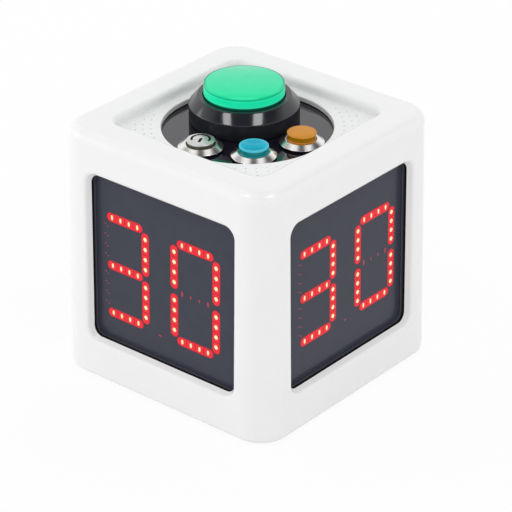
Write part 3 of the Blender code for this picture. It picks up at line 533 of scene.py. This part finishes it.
# Green cap: its own green with painted light. The top is lighter towards the rear corner with a bright
# front rim, and the side has painted shade at the foot and groove between bright painted bands.
CAP_GREEN = make_cap_painted_light("cap_green", [
    (-22.0, (0.27, 0.78, 0.55)),
    (-18.5, (0.19, 0.78, 0.50)),
    (-14.7, (0.116, 0.79, 0.462)),
    (-7.0, (0.07, 0.79, 0.43)),
    (1.0, (0.048, 0.80, 0.414)),
    (9.0, (0.033, 0.80, 0.395)),
    (15.0, (0.013, 0.83, 0.39)),
    (20.0, (0.0, 0.79, 0.35)),
    (21.5, (0.03, 0.90, 0.44)),
    (22.4, (0.03, 0.90, 0.44)),
], [
    (14.6, (0.0, 0.06, 0.04)),
    (15.6, (0.0, 0.14, 0.08)),
    (15.9, (0.0, 0.34, 0.19)),
    (16.2, (0.04, 0.95, 0.52)),
    (17.0, (0.02, 0.97, 0.50)),
    (18.0, (0.0, 0.93, 0.46)),
    (19.4, (0.0, 0.93, 0.47)),
    (20.1, (0.02, 0.97, 0.52)),
    (20.5, (0.0, 0.52, 0.23)),
    (20.8, (0.0, 0.60, 0.28)),
    (21.2, (0.02, 0.90, 0.44)),
], specular=0.12, edge=(0.04, 0.22, 0.16))
# Blue cap: its own blue with a painted highlight that brightens the top towards its rim. Down the side,
# a lighter foot and a darker band above it are painted light and shade.
CAP_BLUE = make_cap_painted_light("cap_blue", [
    (0.0, (0.016, 0.40, 0.56)),
    (5.0, (0.018, 0.43, 0.62)),
    (6.6, (0.03, 0.47, 0.65)),
    (7.2, (0.07, 0.56, 0.72)),
    (8.05, (0.08, 0.60, 0.75)),
], [
    (3.5, (0.015, 0.36, 0.40)),
    (4.2, (0.0, 0.18, 0.20)),
    (5.4, (0.0, 0.25, 0.25)),
    (6.3, (0.0, 0.20, 0.25)),
], specular=0.4)
# Orange cap: its own orange with a painted darker ring and bright edge round the top. Down the side,
# painted shade marks the waist and a painted highlight sits near the foot.
CAP_ORANGE = make_cap_painted_light("cap_orange", [
    (0.0, (0.66, 0.265, 0.003)),
    (6.9, (0.66, 0.255, 0.003)),
    (7.4, (0.55, 0.19, 0.001)),
    (8.05, (0.70, 0.32, 0.03)),
], [
    (3.5, (0.55, 0.21, 0.010)),
    (3.9, (0.68, 0.29, 0.03)),
    (4.4, (0.31, 0.10, 0.0)),
    (5.3, (0.40, 0.20, 0.0)),
    (6.1, (0.31, 0.115, 0.0)),
    (6.7, (0.52, 0.19, 0.0)),
], specular=0.2)


def clean(shape):
    bmesh.ops.remove_doubles(shape, verts=shape.verts, dist=MERGE)
    bmesh.ops.scale(shape, vec=(MM, MM, MM), verts=shape.verts)
    bmesh.ops.recalc_face_normals(shape, faces=shape.faces)


def add_object(name, shape, material, matrix=None):
    """An object of a mesh that is given in millimetres, in its own frame."""
    clean(shape)
    mesh = bpy.data.meshes.new(name)
    shape.to_mesh(mesh)
    shape.free()
    mesh.shade_smooth()
    mesh.set_sharp_from_angle(angle=SHARP)
    if material:
        mesh.materials.append(material)
    thing = bpy.data.objects.new(name, mesh)
    if matrix:
        thing.matrix_world = matrix
    bpy.context.scene.collection.objects.link(thing)
    return thing


def boolean(part, tool, operation):
    modifier = part.modifiers.new(tool.name, "BOOLEAN")
    modifier.operation = operation
    modifier.object = tool
    bake(part)
    bpy.data.objects.remove(tool, do_unlink=True)


def bake(thing):
    """Applies an object's modifiers."""
    bpy.context.view_layer.update()
    evaluated = thing.evaluated_get(bpy.context.evaluated_depsgraph_get())
    mesh = bpy.data.meshes.new_from_object(evaluated)
    thing.modifiers.clear()
    thing.data = mesh


def weigh_normals(thing):
    """Flat faces keep flat shading beside their fillets."""
    thing.data.shade_smooth()
    thing.data.set_sharp_from_angle(angle=SHARP)
    weighted = thing.modifiers.new("weighted", "WEIGHTED_NORMAL")
    weighted.keep_sharp = True
    weighted.weight = 100


def settle(piece, body, slot, *nodes):
    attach(piece, body)
    if nodes:
        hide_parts(*nodes)
    return piece


def bevel(shape, edges, radius, steps):
    bmesh.ops.bevel(shape, geom=edges, offset=radius, offset_type="OFFSET", segments=steps,
                    profile=0.5, affect="EDGES", clamp_overlap=False)


def upright(edge):
    low, high = edge.verts
    return abs(low.co.z - high.co.z) > 0.5 * edge.calc_length()


def level_loop(shape, height):
    return [edge for edge in shape.edges if all(abs(v.co.z - height) < 0.01 for v in edge.verts)]


def add_block(shape, half_x, half_y, z_low, z_high, radius=0.0, steps=6, centre=(0, 0)):
    """A box, with rounded upright edges where a radius is given."""
    made = bmesh.ops.create_cube(shape, size=2.0)["verts"]
    for vert in made:
        vert.co.x = centre[0] + vert.co.x * half_x
        vert.co.y = centre[1] + vert.co.y * half_y
        vert.co.z = z_high if vert.co.z > 0 else z_low
    if radius > 0:
        edges = {edge for vert in made for edge in vert.link_edges if upright(edge)}
        bevel(shape, list(edges), radius, steps)


def add_rod(shape, radius, z_low, z_high, sides, centre=(0, 0), turn=0.0):
    middle = Vector((centre[0], centre[1], (z_low + z_high) / 2))
    place = Matrix.Translation(middle) @ Matrix.Rotation(turn, 4, "Z")
    bmesh.ops.create_cone(shape, cap_ends=True, segments=sides, radius1=radius, radius2=radius,
                          depth=z_high - z_low, matrix=place)


def add_turned(shape, profile, sides):
    """A profile of (radius, height) points turned about Z."""
    rings = []
    for radius, height in profile:
        if radius < MERGE:
            rings.append([shape.verts.new((0, 0, height))])
            continue
        ring = []
        for index in range(sides):
            angle = 2 * math.pi * index / sides
            ring.append(shape.verts.new((radius * math.cos(angle), radius * math.sin(angle), height)))
        rings.append(ring)
    pairs = list(zip(rings, rings[1:]))
    if len(rings[0]) > 1:
        pairs.append((rings[-1], rings[0]))
    for first, second in pairs:
        for index in range(sides):
            after = (index + 1) % sides
            if len(first) == 1:
                shape.faces.new((first[0], second[after], second[index]))
            elif len(second) == 1:
                shape.faces.new((first[index], first[after], second[0]))
            else:
                shape.faces.new((first[index], first[after], second[after], second[index]))


def rounded(corners, steps=6):
    """A profile whose corners, given as (radius, height, fillet), are rounded."""
    points = []
    for index, (x, y, fillet) in enumerate(corners):
        here = Vector((x, y))
        if fillet == 0:
            points.append(here)
            continue
        before = (Vector(corners[index - 1][:2]) - here).normalized()
        after = (Vector(corners[(index + 1) % len(corners)][:2]) - here).normalized()
        half = before.angle(after) / 2
        centre = here + (before + after).normalized() * fillet / math.sin(half)
        start = here + before * fillet / math.tan(half) - centre
        end = here + after * fillet / math.tan(half) - centre
        sweep = start.angle(end)
        for step in range(steps + 1):
            share = step / steps
            weight_start = math.sin((1 - share) * sweep) / math.sin(sweep)
            weight_end = math.sin(share * sweep) / math.sin(sweep)
            points.append(centre + weight_start * start + weight_end * end)
    return [(point.x, point.y) for point in points]


def turned(name, corners, material, at, sides=MID_SIDES):
    shape = bmesh.new()
    add_turned(shape, rounded(corners), sides)
    return add_object(name, shape, material, Matrix.Translation(Vector(at) * MM))


def half_width(z, inset=0.0):
    """Half of the housing's drafted width at a height, less an inset."""
    return WIDTH / 2 - (z - MID_Z) * math.tan(DRAFT) - inset


def drafted_box(z_low, z_high, inset):
    shape = bmesh.new()
    for vert in bmesh.ops.create_cube(shape, size=2.0)["verts"]:
        height = z_high if vert.co.z > 0 else z_low
        half = half_width(height, inset)
        vert.co = Vector((vert.co.x * half, vert.co.y * half, height))
    bevel(shape, [edge for edge in shape.edges if upright(edge)], CORNER_R - inset, CORNER_STEPS)
    return shape


def rounded_outline(half_x, half_y, radius, steps):
    """Points of a rectangle with round corners, anticlockwise from the right-hand side."""
    points = []
    for quarter, (side_x, side_y) in enumerate(((1, 1), (-1, 1), (-1, -1), (1, -1))):
        for step in range(steps + 1):
            angle = math.radians(90 * quarter + 90 * step / steps)
            x = side_x * (half_x - radius) + radius * math.cos(angle)
            y = side_y * (half_y - radius) + radius * math.sin(angle)
            points.append((x, y))
    return points


def funnel(name, half_x, half_y, radius, rings, centre=(0, 0), matrix=None):
    """A cutter lofted through outlines that are grown all round, each as (growth, height)."""
    shape = bmesh.new()
    loops = []
    for grow, height in rings:
        outline = rounded_outline(half_x + grow, half_y + grow, radius + grow, CORNER_STEPS)
        loops.append([shape.verts.new((centre[0] + x, centre[1] + y, height)) for x, y in outline])
    count = len(loops[0])
    for low, high in zip(loops, loops[1:]):
        for index in range(count):
            after = (index + 1) % count
            shape.faces.new((low[index], low[after], high[after], high[index]))
    shape.faces.new(loops[0])
    shape.faces.new(loops[-1])
    return add_object(name, shape, None, matrix)


def lip_rings(radius, top, tilt=math.pi / 2):
    """Rings of a cutter that leaves an edge of a radius round an opening, turned by the tilt."""
    rings = []
    for step in range(LIP_STEPS, 0, -1):
        angle = tilt * step / LIP_STEPS
        rings.append((radius - radius * math.sin(angle), top - radius + radius * math.cos(angle)))
    inner, outer = Vector(rings[-1]), Vector((radius, top))
    rings.append(tuple(outer + (outer - inner) / 3))
    return rings


def wall_matrix(side):
    """The frame of a side: X to the right, Y up the wall and Z out of it."""
    turn = Matrix.Rotation(math.radians(SIDES[side]), 4, "Z")
    place = Matrix.Translation(Vector((0, -WIDTH / 2, MID_Z)) * MM)
    return turn @ place @ Matrix.Rotation(math.pi / 2 - DRAFT, 4, "X")


def make_housing():
    shape = drafted_box(BASE_Z, TOP_Z, 0.0)
    bevel(shape, level_loop(shape, TOP_Z), TOP_EDGE_R, EDGE_STEPS)
    bevel(shape, level_loop(shape, BASE_Z), BOTTOM_EDGE_R, EDGE_STEPS)
    housing = add_object("housing_shell", shape, WHITE)

    cavity = add_object("cavity", drafted_box(BASE_Z - CUT_PAST, TOP_Z - ROOF, WALL), None)
    tray_box = bmesh.new()
    tray_half = TRAY_HALF + TRAY_WALL
    add_block(tray_box, tray_half, tray_half, SLAB_Z, TOP_Z, TRAY_R + TRAY_WALL, CORNER_STEPS)
    boolean(cavity, add_object("tray_box", tray_box, None), "DIFFERENCE")
    for side in SIDES:
        keep = bmesh.new()
        add_block(keep, WINDOW_X + RETURN, WINDOW_Y + RETURN, -RETURN_D, 0.0, WINDOW_R + RETURN,
                  CORNER_STEPS, WINDOW_AT)
        boolean(cavity, add_object(f"{side}_return", keep, None, wall_matrix(side)), "DIFFERENCE")
    boolean(housing, cavity, "DIFFERENCE")

    rings = [(0.0, -RETURN_D - CUT_PAST), (0.0, -THROAT_D), (-THROAT, -THROAT_D)]
    rings += lip_rings(WINDOW_LIP, 0.0, LIP_TILT)
    for side in SIDES:
        opening = funnel(f"{side}_opening", WINDOW_X, WINDOW_Y, WINDOW_R, rings, WINDOW_AT,
                         wall_matrix(side))
        boolean(housing, opening, "DIFFERENCE")

    floor = []
    for step in range(FILLET_STEPS):
        angle = math.radians(90 * step / FILLET_STEPS)
        grow, rise = TRAY_FILLET * (math.sin(angle) - 1), TRAY_FILLET * (1 - math.cos(angle))
        floor.append((grow, TRAY_Z + rise))
    rings = floor + lip_rings(TRAY_LIP, TOP_Z)
    boolean(housing, funnel("tray", TRAY_HALF, TRAY_HALF, TRAY_R, rings), "DIFFERENCE")

    well = bmesh.new()
    lip = []
    for step in range(FILLET_STEPS + 1):
        angle = math.radians(90 * step / FILLET_STEPS)
        grow, rise = WELL_LIP * (1 - math.cos(angle)), WELL_LIP * math.sin(angle)
        lip.append((WELL_R + grow, TRAY_Z - WELL_LIP + rise))
    low = SLAB_Z - CUT_PAST
    step_r, step_z = WELL_R + REBATE_WIDE, SLAB_Z + REBATE
    profile = [(0, low), (step_r, low), (step_r, step_z), (WELL_R, step_z), *lip]
    profile += [(WELL_R + 2 * WELL_LIP, TRAY_Z + WELL_LIP), (0, TRAY_Z + WELL_LIP)]
    add_turned(well, profile, FINE_SIDES)
    boolean(housing, add_object("well", well, None), "DIFFERENCE")

    holes = bmesh.new()
    for corner in range(4):
        diagonal = math.radians(45 + 90 * corner)
        for radius, count in zip(HOLE_RINGS, HOLE_COUNTS):
            for index in range(count):
                angle = diagonal + (index - (count - 1) / 2) * HOLE_PITCH
                place = (radius * math.cos(angle), radius * math.sin(angle))
                add_rod(holes, HOLE_R, SLAB_Z - CUT_PAST, TRAY_Z + CUT_PAST, HOLE_SIDES, place, angle)
    boolean(housing, add_object("sound_holes", holes, None), "DIFFERENCE")

    socket = bmesh.new()
    half_high = SOCKET_HIGH / 2 + SEAT
    add_block(socket, SOCKET_WIDE / 2 + SEAT, half_high, -WALL - CUT_PAST, CUT_PAST, half_high - MERGE,
              LIP_STEPS, SOCKET_AT)
    boolean(housing, add_object("socket_hole", socket, None, wall_matrix("back")), "DIFFERENCE")

    housing.data.materials.clear()
    housing.data.materials.append(WHITE)
    weigh_normals(housing)
    settle(housing, "timer", "white_shell", "housing")


def segments(display, digit):
    """Name, middle and direction of a digit's segments: True where one stands upright."""
    x = display.x + digit * display.digit_pitch / 2
    rows = {"a": 1, "g": 0, "d": -1}
    posts = {"f": (-1, 1), "b": (1, 1), "e": (-1, -1), "c": (1, -1)}
    level = [(name, x, display.y + row * display.row_pitch, False) for name, row in rows.items()]
    upright_ones = [(name, x + side * POST_X, display.y + row * display.row_pitch / 2, True)
                    for name, (side, row) in posts.items()]
    return level + upright_ones


def led_places(display, x, y, stands):
    pitch = display.post_leds if stands else display.bar_leds
    for index in range(LEDS):
        along = (index - (LEDS - 1) / 2) * pitch
        yield (x, y - along) if stands else (x + along, y)


def add_oval(shape, centre, half_x, half_y, z_low, z_high, sides=16):
    """A low dome with an oval rim."""
    rim = []
    for index in range(sides):
        angle = 2 * math.pi * index / sides
        rim.append((half_x * math.cos(angle), half_y * math.sin(angle)))
    levels = ((1.0, z_low), (1.0, z_low + 0.5 * (z_high - z_low)), (0.7, z_high))
    rings = [[shape.verts.new((centre[0] + share * x, centre[1] + share * y, z)) for x, y in rim]
             for share, z in levels]
    shape.faces.new(rings[0])
    shape.faces.new(rings[-1])
    for low, high in zip(rings, rings[1:]):
        for index in range(sides):
            after = (index + 1) % sides
            shape.faces.new((low[index], low[after], high[after], high[index]))


def make_display(side):
    place = wall_matrix(side)
    display = DISPLAYS[side]
    gasket = bmesh.new()
    add_block(gasket, WINDOW_X + GASKET_RIM, WINDOW_Y + GASKET_RIM, -GASKET_D - GASKET, -GASKET_D,
              WINDOW_R, CORNER_STEPS, WINDOW_AT)
    gasket = add_object(f"{side}_gasket_seal", gasket, FOAM, place)
    sleeve = bmesh.new()
    add_block(sleeve, WINDOW_X - SLEEVE_GAP, WINDOW_Y - SLEEVE_GAP, -GASKET_D - GASKET / 2,
              -THROAT_D - SLEEVE_GAP, WINDOW_R - SLEEVE_GAP, CORNER_STEPS, WINDOW_AT)
    boolean(gasket, add_object("sleeve", sleeve, None, place), "UNION")
    hole = bmesh.new()
    add_block(hole, WINDOW_X - THROAT, WINDOW_Y - THROAT, -GASKET_D - GASKET - CUT_PAST, 0.0,
              WINDOW_R - THROAT, CORNER_STEPS, WINDOW_AT)
    boolean(gasket, add_object("aperture", hole, None, place), "DIFFERENCE")
    gasket.data.materials.clear()
    gasket.data.materials.append(FOAM)
    weigh_normals(gasket)
    settle(gasket, "timer", "gasket", f"{side}_gasket")

    face = bmesh.new()
    add_block(face, WINDOW_X + FACE_LAP, WINDOW_Y + FACE_LAP, -FACE_D - FACE, -FACE_D, FACE_R,
              FACE_STEPS, WINDOW_AT)
    face = add_object(f"{side}_window_panel", face, GREY, place)
    settle(face, "timer", "display_grey", f"{side}_display_face")

    rims, lit, cores, halos = bmesh.new(), bmesh.new(), bmesh.new(), bmesh.new()
    slits, spots, unlit = bmesh.new(), bmesh.new(), bmesh.new()
    top = -FACE_D + RAISE
    for digit, names in LIT.items():
        for name, x, y, stands in segments(display, digit):
            if name not in names:
                add_unlit(unlit, led_places(display, x, y, stands), stands, top)
                continue
            length = (display.row_pitch - POST_GAP if stands else display.bar_length) / 2
            for shape, inset, lift in ((rims, RIM_INSET, 0.0), (lit, LIT_INSET, LIFT)):
                half = BAR / 2 - inset
                size = (half, length - inset) if stands else (length - inset, half)
                add_block(shape, *size, top + lift - LENS_THICK, top + lift, half - MERGE, LENS_STEPS,
                          (x, y))
            centres = list(led_places(display, x, y, stands))
            for led_x, led_y in centres:
                core = CORE_POST if stands else CORE_BAR
                add_oval(halos, (led_x, led_y), core[0] + HALO, core[1] + HALO, top + LIFT,
                         top + 2 * LIFT)
                add_oval(cores, (led_x, led_y), *core, top + 2 * LIFT, top + 4 * LIFT)
                for shift_x, shift_y in (SPOTS_POST if stands else SPOTS_BAR):
                    add_oval(spots, (led_x + shift_x, led_y + shift_y), SPOT_R, SPOT_R, top + LIFT,
                             top + 3 * LIFT, SPOT_SIDES)
            for first, second in zip(centres, centres[1:]):
                middle = ((first[0] + second[0]) / 2, (first[1] + second[1]) / 2)
                long, short = BAR / 2 - LIT_INSET - SLIT_END, SLIT_WIDE / 2
                slit = (long, short) if stands else (short, long)
                add_block(slits, *slit, top, top + 1.5 * LIFT, centre=middle)
    dash_at = (display.x + DASH_X, display.y - display.row_pitch + DASH_Y)
    add_block(unlit, *DASH, top, top + LIFT, centre=dash_at)
    pieces = (
        ("segment_rims", rims, RIM_GLOW, (f"{side}_segment_lens",)),
        ("lit_segments", lit, SEGMENT_GLOW, ()),
        ("led_halos", halos, HALO_GLOW, ()),
        ("led_cores", cores, CORE_GLOW, ()),
        ("segment_slits", slits, SLIT_GLOW, ()),
        ("led_spots", spots, SPOT, ()),
        ("unlit_marks", unlit, UNLIT_PAINTED_GLOW, ()),
    )
    for name, shape, material, nodes in pieces:
        settle(add_object(f"{side}_{name}", shape, material, place), "timer", "segment_red", *nodes)


def add_unlit(shape, places, stands, top):
    """Dull marks where the lamps of an unlit segment sit, shown with a painted glow."""
    for index, (x, y) in enumerate(places):
        if stands:
            for way in (-1, 1):
                spot = (x + UNLIT_SHIFT + way * UNLIT_PAIR[0], y + way * UNLIT_PAIR[1])
                add_oval(shape, spot, *UNLIT_POST, top, top + LIFT)
            continue
        grow = UNLIT_END if index in (0, LEDS - 1) else 1.0
        add_oval(shape, (x, y), grow * UNLIT_BAR[0], grow * UNLIT_BAR[1], top, top + LIFT)


def make_main_button():
    axis = middle_mm("main_bezel")
    at = (axis.x, axis.y, PANEL_Z)
    bezel_top = high_mm("main_bezel").z - PANEL_Z - BEZEL_DROP
    top_z = high_mm("main_cap").z - PANEL_Z
    foot_z = low_mm("main_cap").z - PANEL_Z
    bore = CAP_R + SEAT
    ring = turned("main_bezel_ring", [
        (bore, bezel_top, 0.3),
        (BEZEL_RIM_R, bezel_top, 1.2),
        (BEZEL_R, BEZEL_CONE_Z, 0.9),
        (BEZEL_R, SEAT, 0.2),
        (NECK_R, SEAT, 0),
        (NECK_R, NECK_END_Z, 0),
        (NECK_BORE_R, NECK_END_Z, 0),
        (NECK_BORE_R, BEZEL_FLOOR_Z, 0),
        (bore, BEZEL_FLOOR_Z, 0),
    ], BEZEL_BLACK, at, FINE_SIDES)
    settle(ring, "timer", "bezel_black", "main_bezel")

    groove = [(CAP_TOP_R + growth, top_z - drop, 0) for drop, growth in CAP_GROOVE]
    cap = turned("main_cap_lens", [
        (0, top_z, 0),
        (CAP_TOP_R, top_z, CAP_FILLET),
        *groove,
        (CAP_R, bezel_top, 0),
        (CAP_R, foot_z, 0),
        (CAP_R - CAP_WALL, foot_z, 0),
        (CAP_R - CAP_WALL, top_z - CAP_ROOF, 0),
        (0, top_z - CAP_ROOF, 0),
    ], CAP_GREEN, at, FINE_SIDES)
    settle(cap, "main_plunger", "cap_green", "main_cap")


def make_small_button(name, material, slot):
    axis = middle_mm(f"{name}_cap")
    at = (axis.x, axis.y, PANEL_Z)
    cap_r = round((high_mm(f"{name}_cap").x - low_mm(f"{name}_cap").x) / 2, 2)
    cap_z = high_mm(f"{name}_cap").z - PANEL_Z
    bore = cap_r + SEAT
    body = turned(f"{name}_flange", [
        (bore, CONE_Z, 0.15),
        (CONE_R, CONE_Z, 0.2),
        (FLANGE_R, FLANGE_EDGE_Z, 0.15),
        (FLANGE_R, FLANGE_Z, 0.1),
        (BARREL_R, FLANGE_Z, 0),
        (BARREL_R, BARREL_END_Z, 0),
        (bore, BARREL_END_Z, 0),
        (bore, SHOULDER_END_Z, 0),
        (SHOULDER_BORE_R, SHOULDER_END_Z, 0),
        (SHOULDER_BORE_R, SHOULDER_Z, 0),
        (bore, SHOULDER_Z, 0),
    ], STEEL, at)
    settle(body, "timer", "button_steel", f"{name}_body")

    waist_r = cap_r - ORANGE_WAIST
    sides = {
        "blue": [(cap_r, cap_z, 0.35)],
        "orange": [(cap_r, cap_z, 0.3), (cap_r, cap_z - 0.9, 0.2), (waist_r, cap_z - 1.3, 0.2),
                   (waist_r, CONE_Z + 1.0, 0.3), (cap_r, CONE_Z + 0.4, 0.2)],
        "power": [(cap_r, cap_z, 0.3)],
    }
    top = [(0, cap_z, 0)]
    if name == "blue":
        shares = [step / DISH_STEPS for step in range(DISH_STEPS + 1)]
        top = [((cap_r - BLUE_RIM) * share, cap_z - BLUE_DISH * (1 - share ** 2), 0)
               for share in shares]
    cap = turned(f"{name}_cap_top", top + sides[name] + [
        (cap_r, CAP_FOOT_Z, 0),
        (STEM_R, CAP_FOOT_Z, 0),
        (STEM_R, STEM_END_Z, 0),
        (0, STEM_END_Z, 0),
    ], material, at)
    settle(cap, f"{name}_plunger", slot, f"{name}_cap")

    ring_low, ring_mid, ring_high = RING_Z
    ring = turned(f"{name}_seal_ring", [
        (RING_R, ring_high, 0),
        (RING_R + RING_WIDE, ring_mid, 0.1),
        (RING_R, ring_low, 0),
    ], RUBBER, at)
    settle(ring, "timer", "rubber", f"{name}_ring")


def make_power_symbol():
    """A generic power mark: an arc that opens towards the front corner, and a bar."""
    axis = middle_mm("power_cap")
    top = high_mm("power_cap").z
    shape = bmesh.new()
    centre = -MARK_BACK * TO_FRONT
    rows = []
    for step in range(MARK_STEPS + 1):
        angle = MARK_TURN + MARK_GAP + 2 * (math.pi - MARK_GAP) * step / MARK_STEPS
        rows.append([(centre.x + radius * math.cos(angle), centre.y + radius * math.sin(angle))
                     for radius in MARK_RADII])
    low, high = MARK_Z
    grid = [[shape.verts.new((*point, z)) for z in (low, high) for point in row] for row in rows]
    for first, second in zip(grid, grid[1:]):
        for a, b in ((0, 1), (1, 3), (3, 2), (2, 0)):
            shape.faces.new((first[a], first[b], second[b], second[a]))
    for end in (grid[0], grid[-1]):
        shape.faces.new((end[0], end[1], end[3], end[2]))
    bar = bmesh.ops.create_cube(shape, size=1.0)["verts"]
    for vert in bar:
        vert.co = Vector((vert.co.x * MARK_BAR[0] + MARK_BAR_AT, vert.co.y * MARK_BAR[1],
                          high if vert.co.z > 0 else low))
    bmesh.ops.rotate(shape, verts=bar, matrix=Matrix.Rotation(MARK_BAR_TURN, 3, "Z"))
    place = Matrix.Translation(Vector((axis.x, axis.y, top)) * MM)
    symbol = add_object("power_symbol", shape, SYMBOL, place)
    settle(symbol, "power_plunger", "button_steel")


def make_spring(name):
    """A copy of a button's return spring, which takes the place of its node."""
    node = NODES[f"{name}_spring"]
    coil = bpy.data.objects.new(f"{name}_coil", node.data.copy())
    coil.matrix_world = node.matrix_world
    bpy.context.scene.collection.objects.link(coil)
    settle(coil, "timer", "spring_steel", f"{name}_spring")
    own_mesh(coil)


def dress_frame():
    """Finishes for the nodes that stay as they are."""
    finishes = {
        "top_panel": GLOSS_BLACK, "base_cover": COVER_WHITE, "main_switch": NYLON,
        "main_carrier": CARRIER_WHITE, "battery_holder": NYLON, "rear_cell": CELL_WRAP,
        "fore_cell": CELL_WRAP, "control_board": FIBRE, "speaker": SPEAKER_GREY,
        "charge_socket": STEEL,
    }
    endings = {
        "_foot": RUBBER, "_screw": ZINC, "_gasket": FOAM, "_display_face": GREY,
        "_segment_lens": LENS_RED, "_led_board": FIBRE, "_body": STEEL, "_ring": RUBBER,
        "_spring": SPRING_STEEL, "_nut": NYLON, "_contacts": NYLON, "housing": WHITE,
        "main_bezel": BEZEL_BLACK, "main_cap": CAP_GREEN, "blue_cap": CAP_BLUE,
        "orange_cap": CAP_ORANGE, "power_cap": CAP_STEEL_PAINTED_SHADE,
    }
    for name, node in NODES.items():
        material = finishes.get(name)
        if material is None:
            material = next(value for ending, value in endings.items() if name.endswith(ending))
        node.data.materials.clear()
        node.data.materials.append(material)


def make_floor():
    mesh = bpy.data.meshes.new("floor")
    corners = [(-FLOOR_REACH, -FLOOR_REACH, 0), (FLOOR_REACH, -FLOOR_REACH, 0),
               (FLOOR_REACH, FLOOR_REACH, 0), (-FLOOR_REACH, FLOOR_REACH, 0)]
    mesh.from_pydata(corners, [], [(0, 1, 2, 3)])
    floor = bpy.data.objects.new("floor", mesh)
    bpy.context.scene.collection.objects.link(floor)
    material, tree, shader = start_material("floor_paper")
    shader.inputs["Roughness"].default_value = 0.9
    shader.inputs["Specular IOR Level"].default_value = 0.1
    noise = add_noise(tree, 60.0)
    share = add_range(tree, noise.outputs["Fac"], 0.0, 1.0)
    tone = add_mix(tree, share, (0.90, 0.90, 0.90), (0.92, 0.92, 0.92))
    tree.links.new(tone, shader.inputs["Base Color"])
    glow = add_node(tree, "ShaderNodeEmission", {"Color": (1, 1, 1, 1), "Strength": 1.0})
    path = add_node(tree, "ShaderNodeLightPath")
    seen = add_math(tree, "MAXIMUM", path.outputs["Is Camera Ray"], path.outputs["Is Glossy Ray"])
    seen = add_math(tree, "MAXIMUM", seen, path.outputs["Is Transmission Ray"])
    mix = add_node(tree, "ShaderNodeMixShader")
    tree.links.new(add_math(tree, "MULTIPLY", seen, FLOOR_GLOW), mix.inputs[0])
    tree.links.new(shader.outputs["BSDF"], mix.inputs[1])
    tree.links.new(glow.outputs["Emission"], mix.inputs[2])
    tree.links.new(mix.outputs["Shader"], tree.nodes["Material Output"].inputs["Surface"])
    mesh.materials.append(material)


def make_world():
    world = bpy.data.worlds.new("studio")
    bpy.context.scene.world = world
    world.use_nodes = True
    tree = world.node_tree
    background = tree.nodes["Background"]
    background.inputs["Strength"].default_value = 1.0
    place = add_node(tree, "ShaderNodeTexCoord")
    parts = add_node(tree, "ShaderNodeSeparateXYZ")
    tree.links.new(place.outputs["Generated"], parts.inputs["Vector"])
    height = parts.outputs["Z"]
    diffuse = add_mix(tree, add_range(tree, height, 0.0, 1.0, 0.0, 1.0), WORLD_SIDES, WORLD_TOP)
    across = add_reach(tree, place.outputs["Generated"], TO_RIGHT)
    ahead = add_reach(tree, place.outputs["Generated"], TO_FRONT)
    bands = add_ramp(tree, across, BANDS, 1.0)
    upper = add_mix(tree, add_range(tree, ahead, 1.0, 0.0, *OVERHEAD), SKY_DARK, bands)
    glossy = add_mix(tree, add_range(tree, height, 0.0, 1.0, *HORIZON), BRIGHT, upper)
    path = add_node(tree, "ShaderNodeLightPath")
    shine = add_math(tree, "MAXIMUM", path.outputs["Is Glossy Ray"],
                     path.outputs["Is Transmission Ray"])
    seen = add_mix(tree, shine, diffuse, glossy)
    final = add_mix(tree, path.outputs["Is Camera Ray"], seen, BRIGHT)
    tree.links.new(final, background.inputs["Color"])


def add_lamp(name, place, turn, size, radiance):
    """A rectangular lamp, which shines straight down until it is turned."""
    light = bpy.data.lights.new(name, "AREA")
    light.shape = "RECTANGLE"
    light.size, light.size_y = size
    light.energy = radiance * math.pi * size[0] * size[1]
    lamp = bpy.data.objects.new(name, light)
    lamp.location = place
    lamp.rotation_euler = turn
    lamp.visible_camera = False
    bpy.context.scene.collection.objects.link(lamp)
    return lamp


def make_lights():
    """A large soft fill from the left, and two strips above the front that shine in glossy surfaces."""
    direction = FILL_FROM.normalized()
    turn = direction.to_track_quat("Z", "Y").to_euler()
    place = Vector((0, 0, FILL_Z)) + FILL_AWAY * direction
    add_lamp("fill", place, turn, (FILL_SIZE, FILL_SIZE), FILL_RADIANCE)
    for name, across, wide in STRIPS:
        place = across * TO_RIGHT + STRIP_FRONT * TO_FRONT + Vector((0, 0, STRIP_Z))
        strip = add_lamp(name, place, (0, 0, AZIMUTH), (wide, STRIP_LONG), STRIP_RADIANCE)
        strip.visible_diffuse = False


def make_camera():
    back = math.cos(ELEVATION) * TO_FRONT + Vector((0, 0, math.sin(ELEVATION)))
    up = back.cross(TO_RIGHT)
    camera_data = bpy.data.cameras.new("camera")
    camera_data.lens = LENS
    camera_data.sensor_width = SENSOR
    camera_data.sensor_fit = "HORIZONTAL"
    camera_data.clip_start = 0.1
    camera_data.clip_end = 30.0
    camera = bpy.data.objects.new("camera", camera_data)
    target = Vector((0, 0, AIM_Z)) + AIM_RIGHT * TO_RIGHT + AIM_UP * up
    turn = Matrix((TO_RIGHT, up, back)).transposed().to_4x4()
    camera.matrix_world = Matrix.Translation(target + DISTANCE * back) @ turn
    bpy.context.scene.collection.objects.link(camera)
    bpy.context.scene.camera = camera


def main():
    make_camera()
    make_world()
    make_lights()
    make_floor()
    dress_frame()
    make_housing()
    for side in SIDES:
        make_display(side)
    make_main_button()
    make_small_button("power", CAP_STEEL_PAINTED_SHADE, "button_steel")
    make_small_button("blue", CAP_BLUE, "cap_blue")
    make_small_button("orange", CAP_ORANGE, "cap_orange")
    make_power_symbol()
    for name in ("main", "power", "blue", "orange"):
        make_spring(name)
    bpy.context.scene.view_settings.view_transform = "Standard"


main()
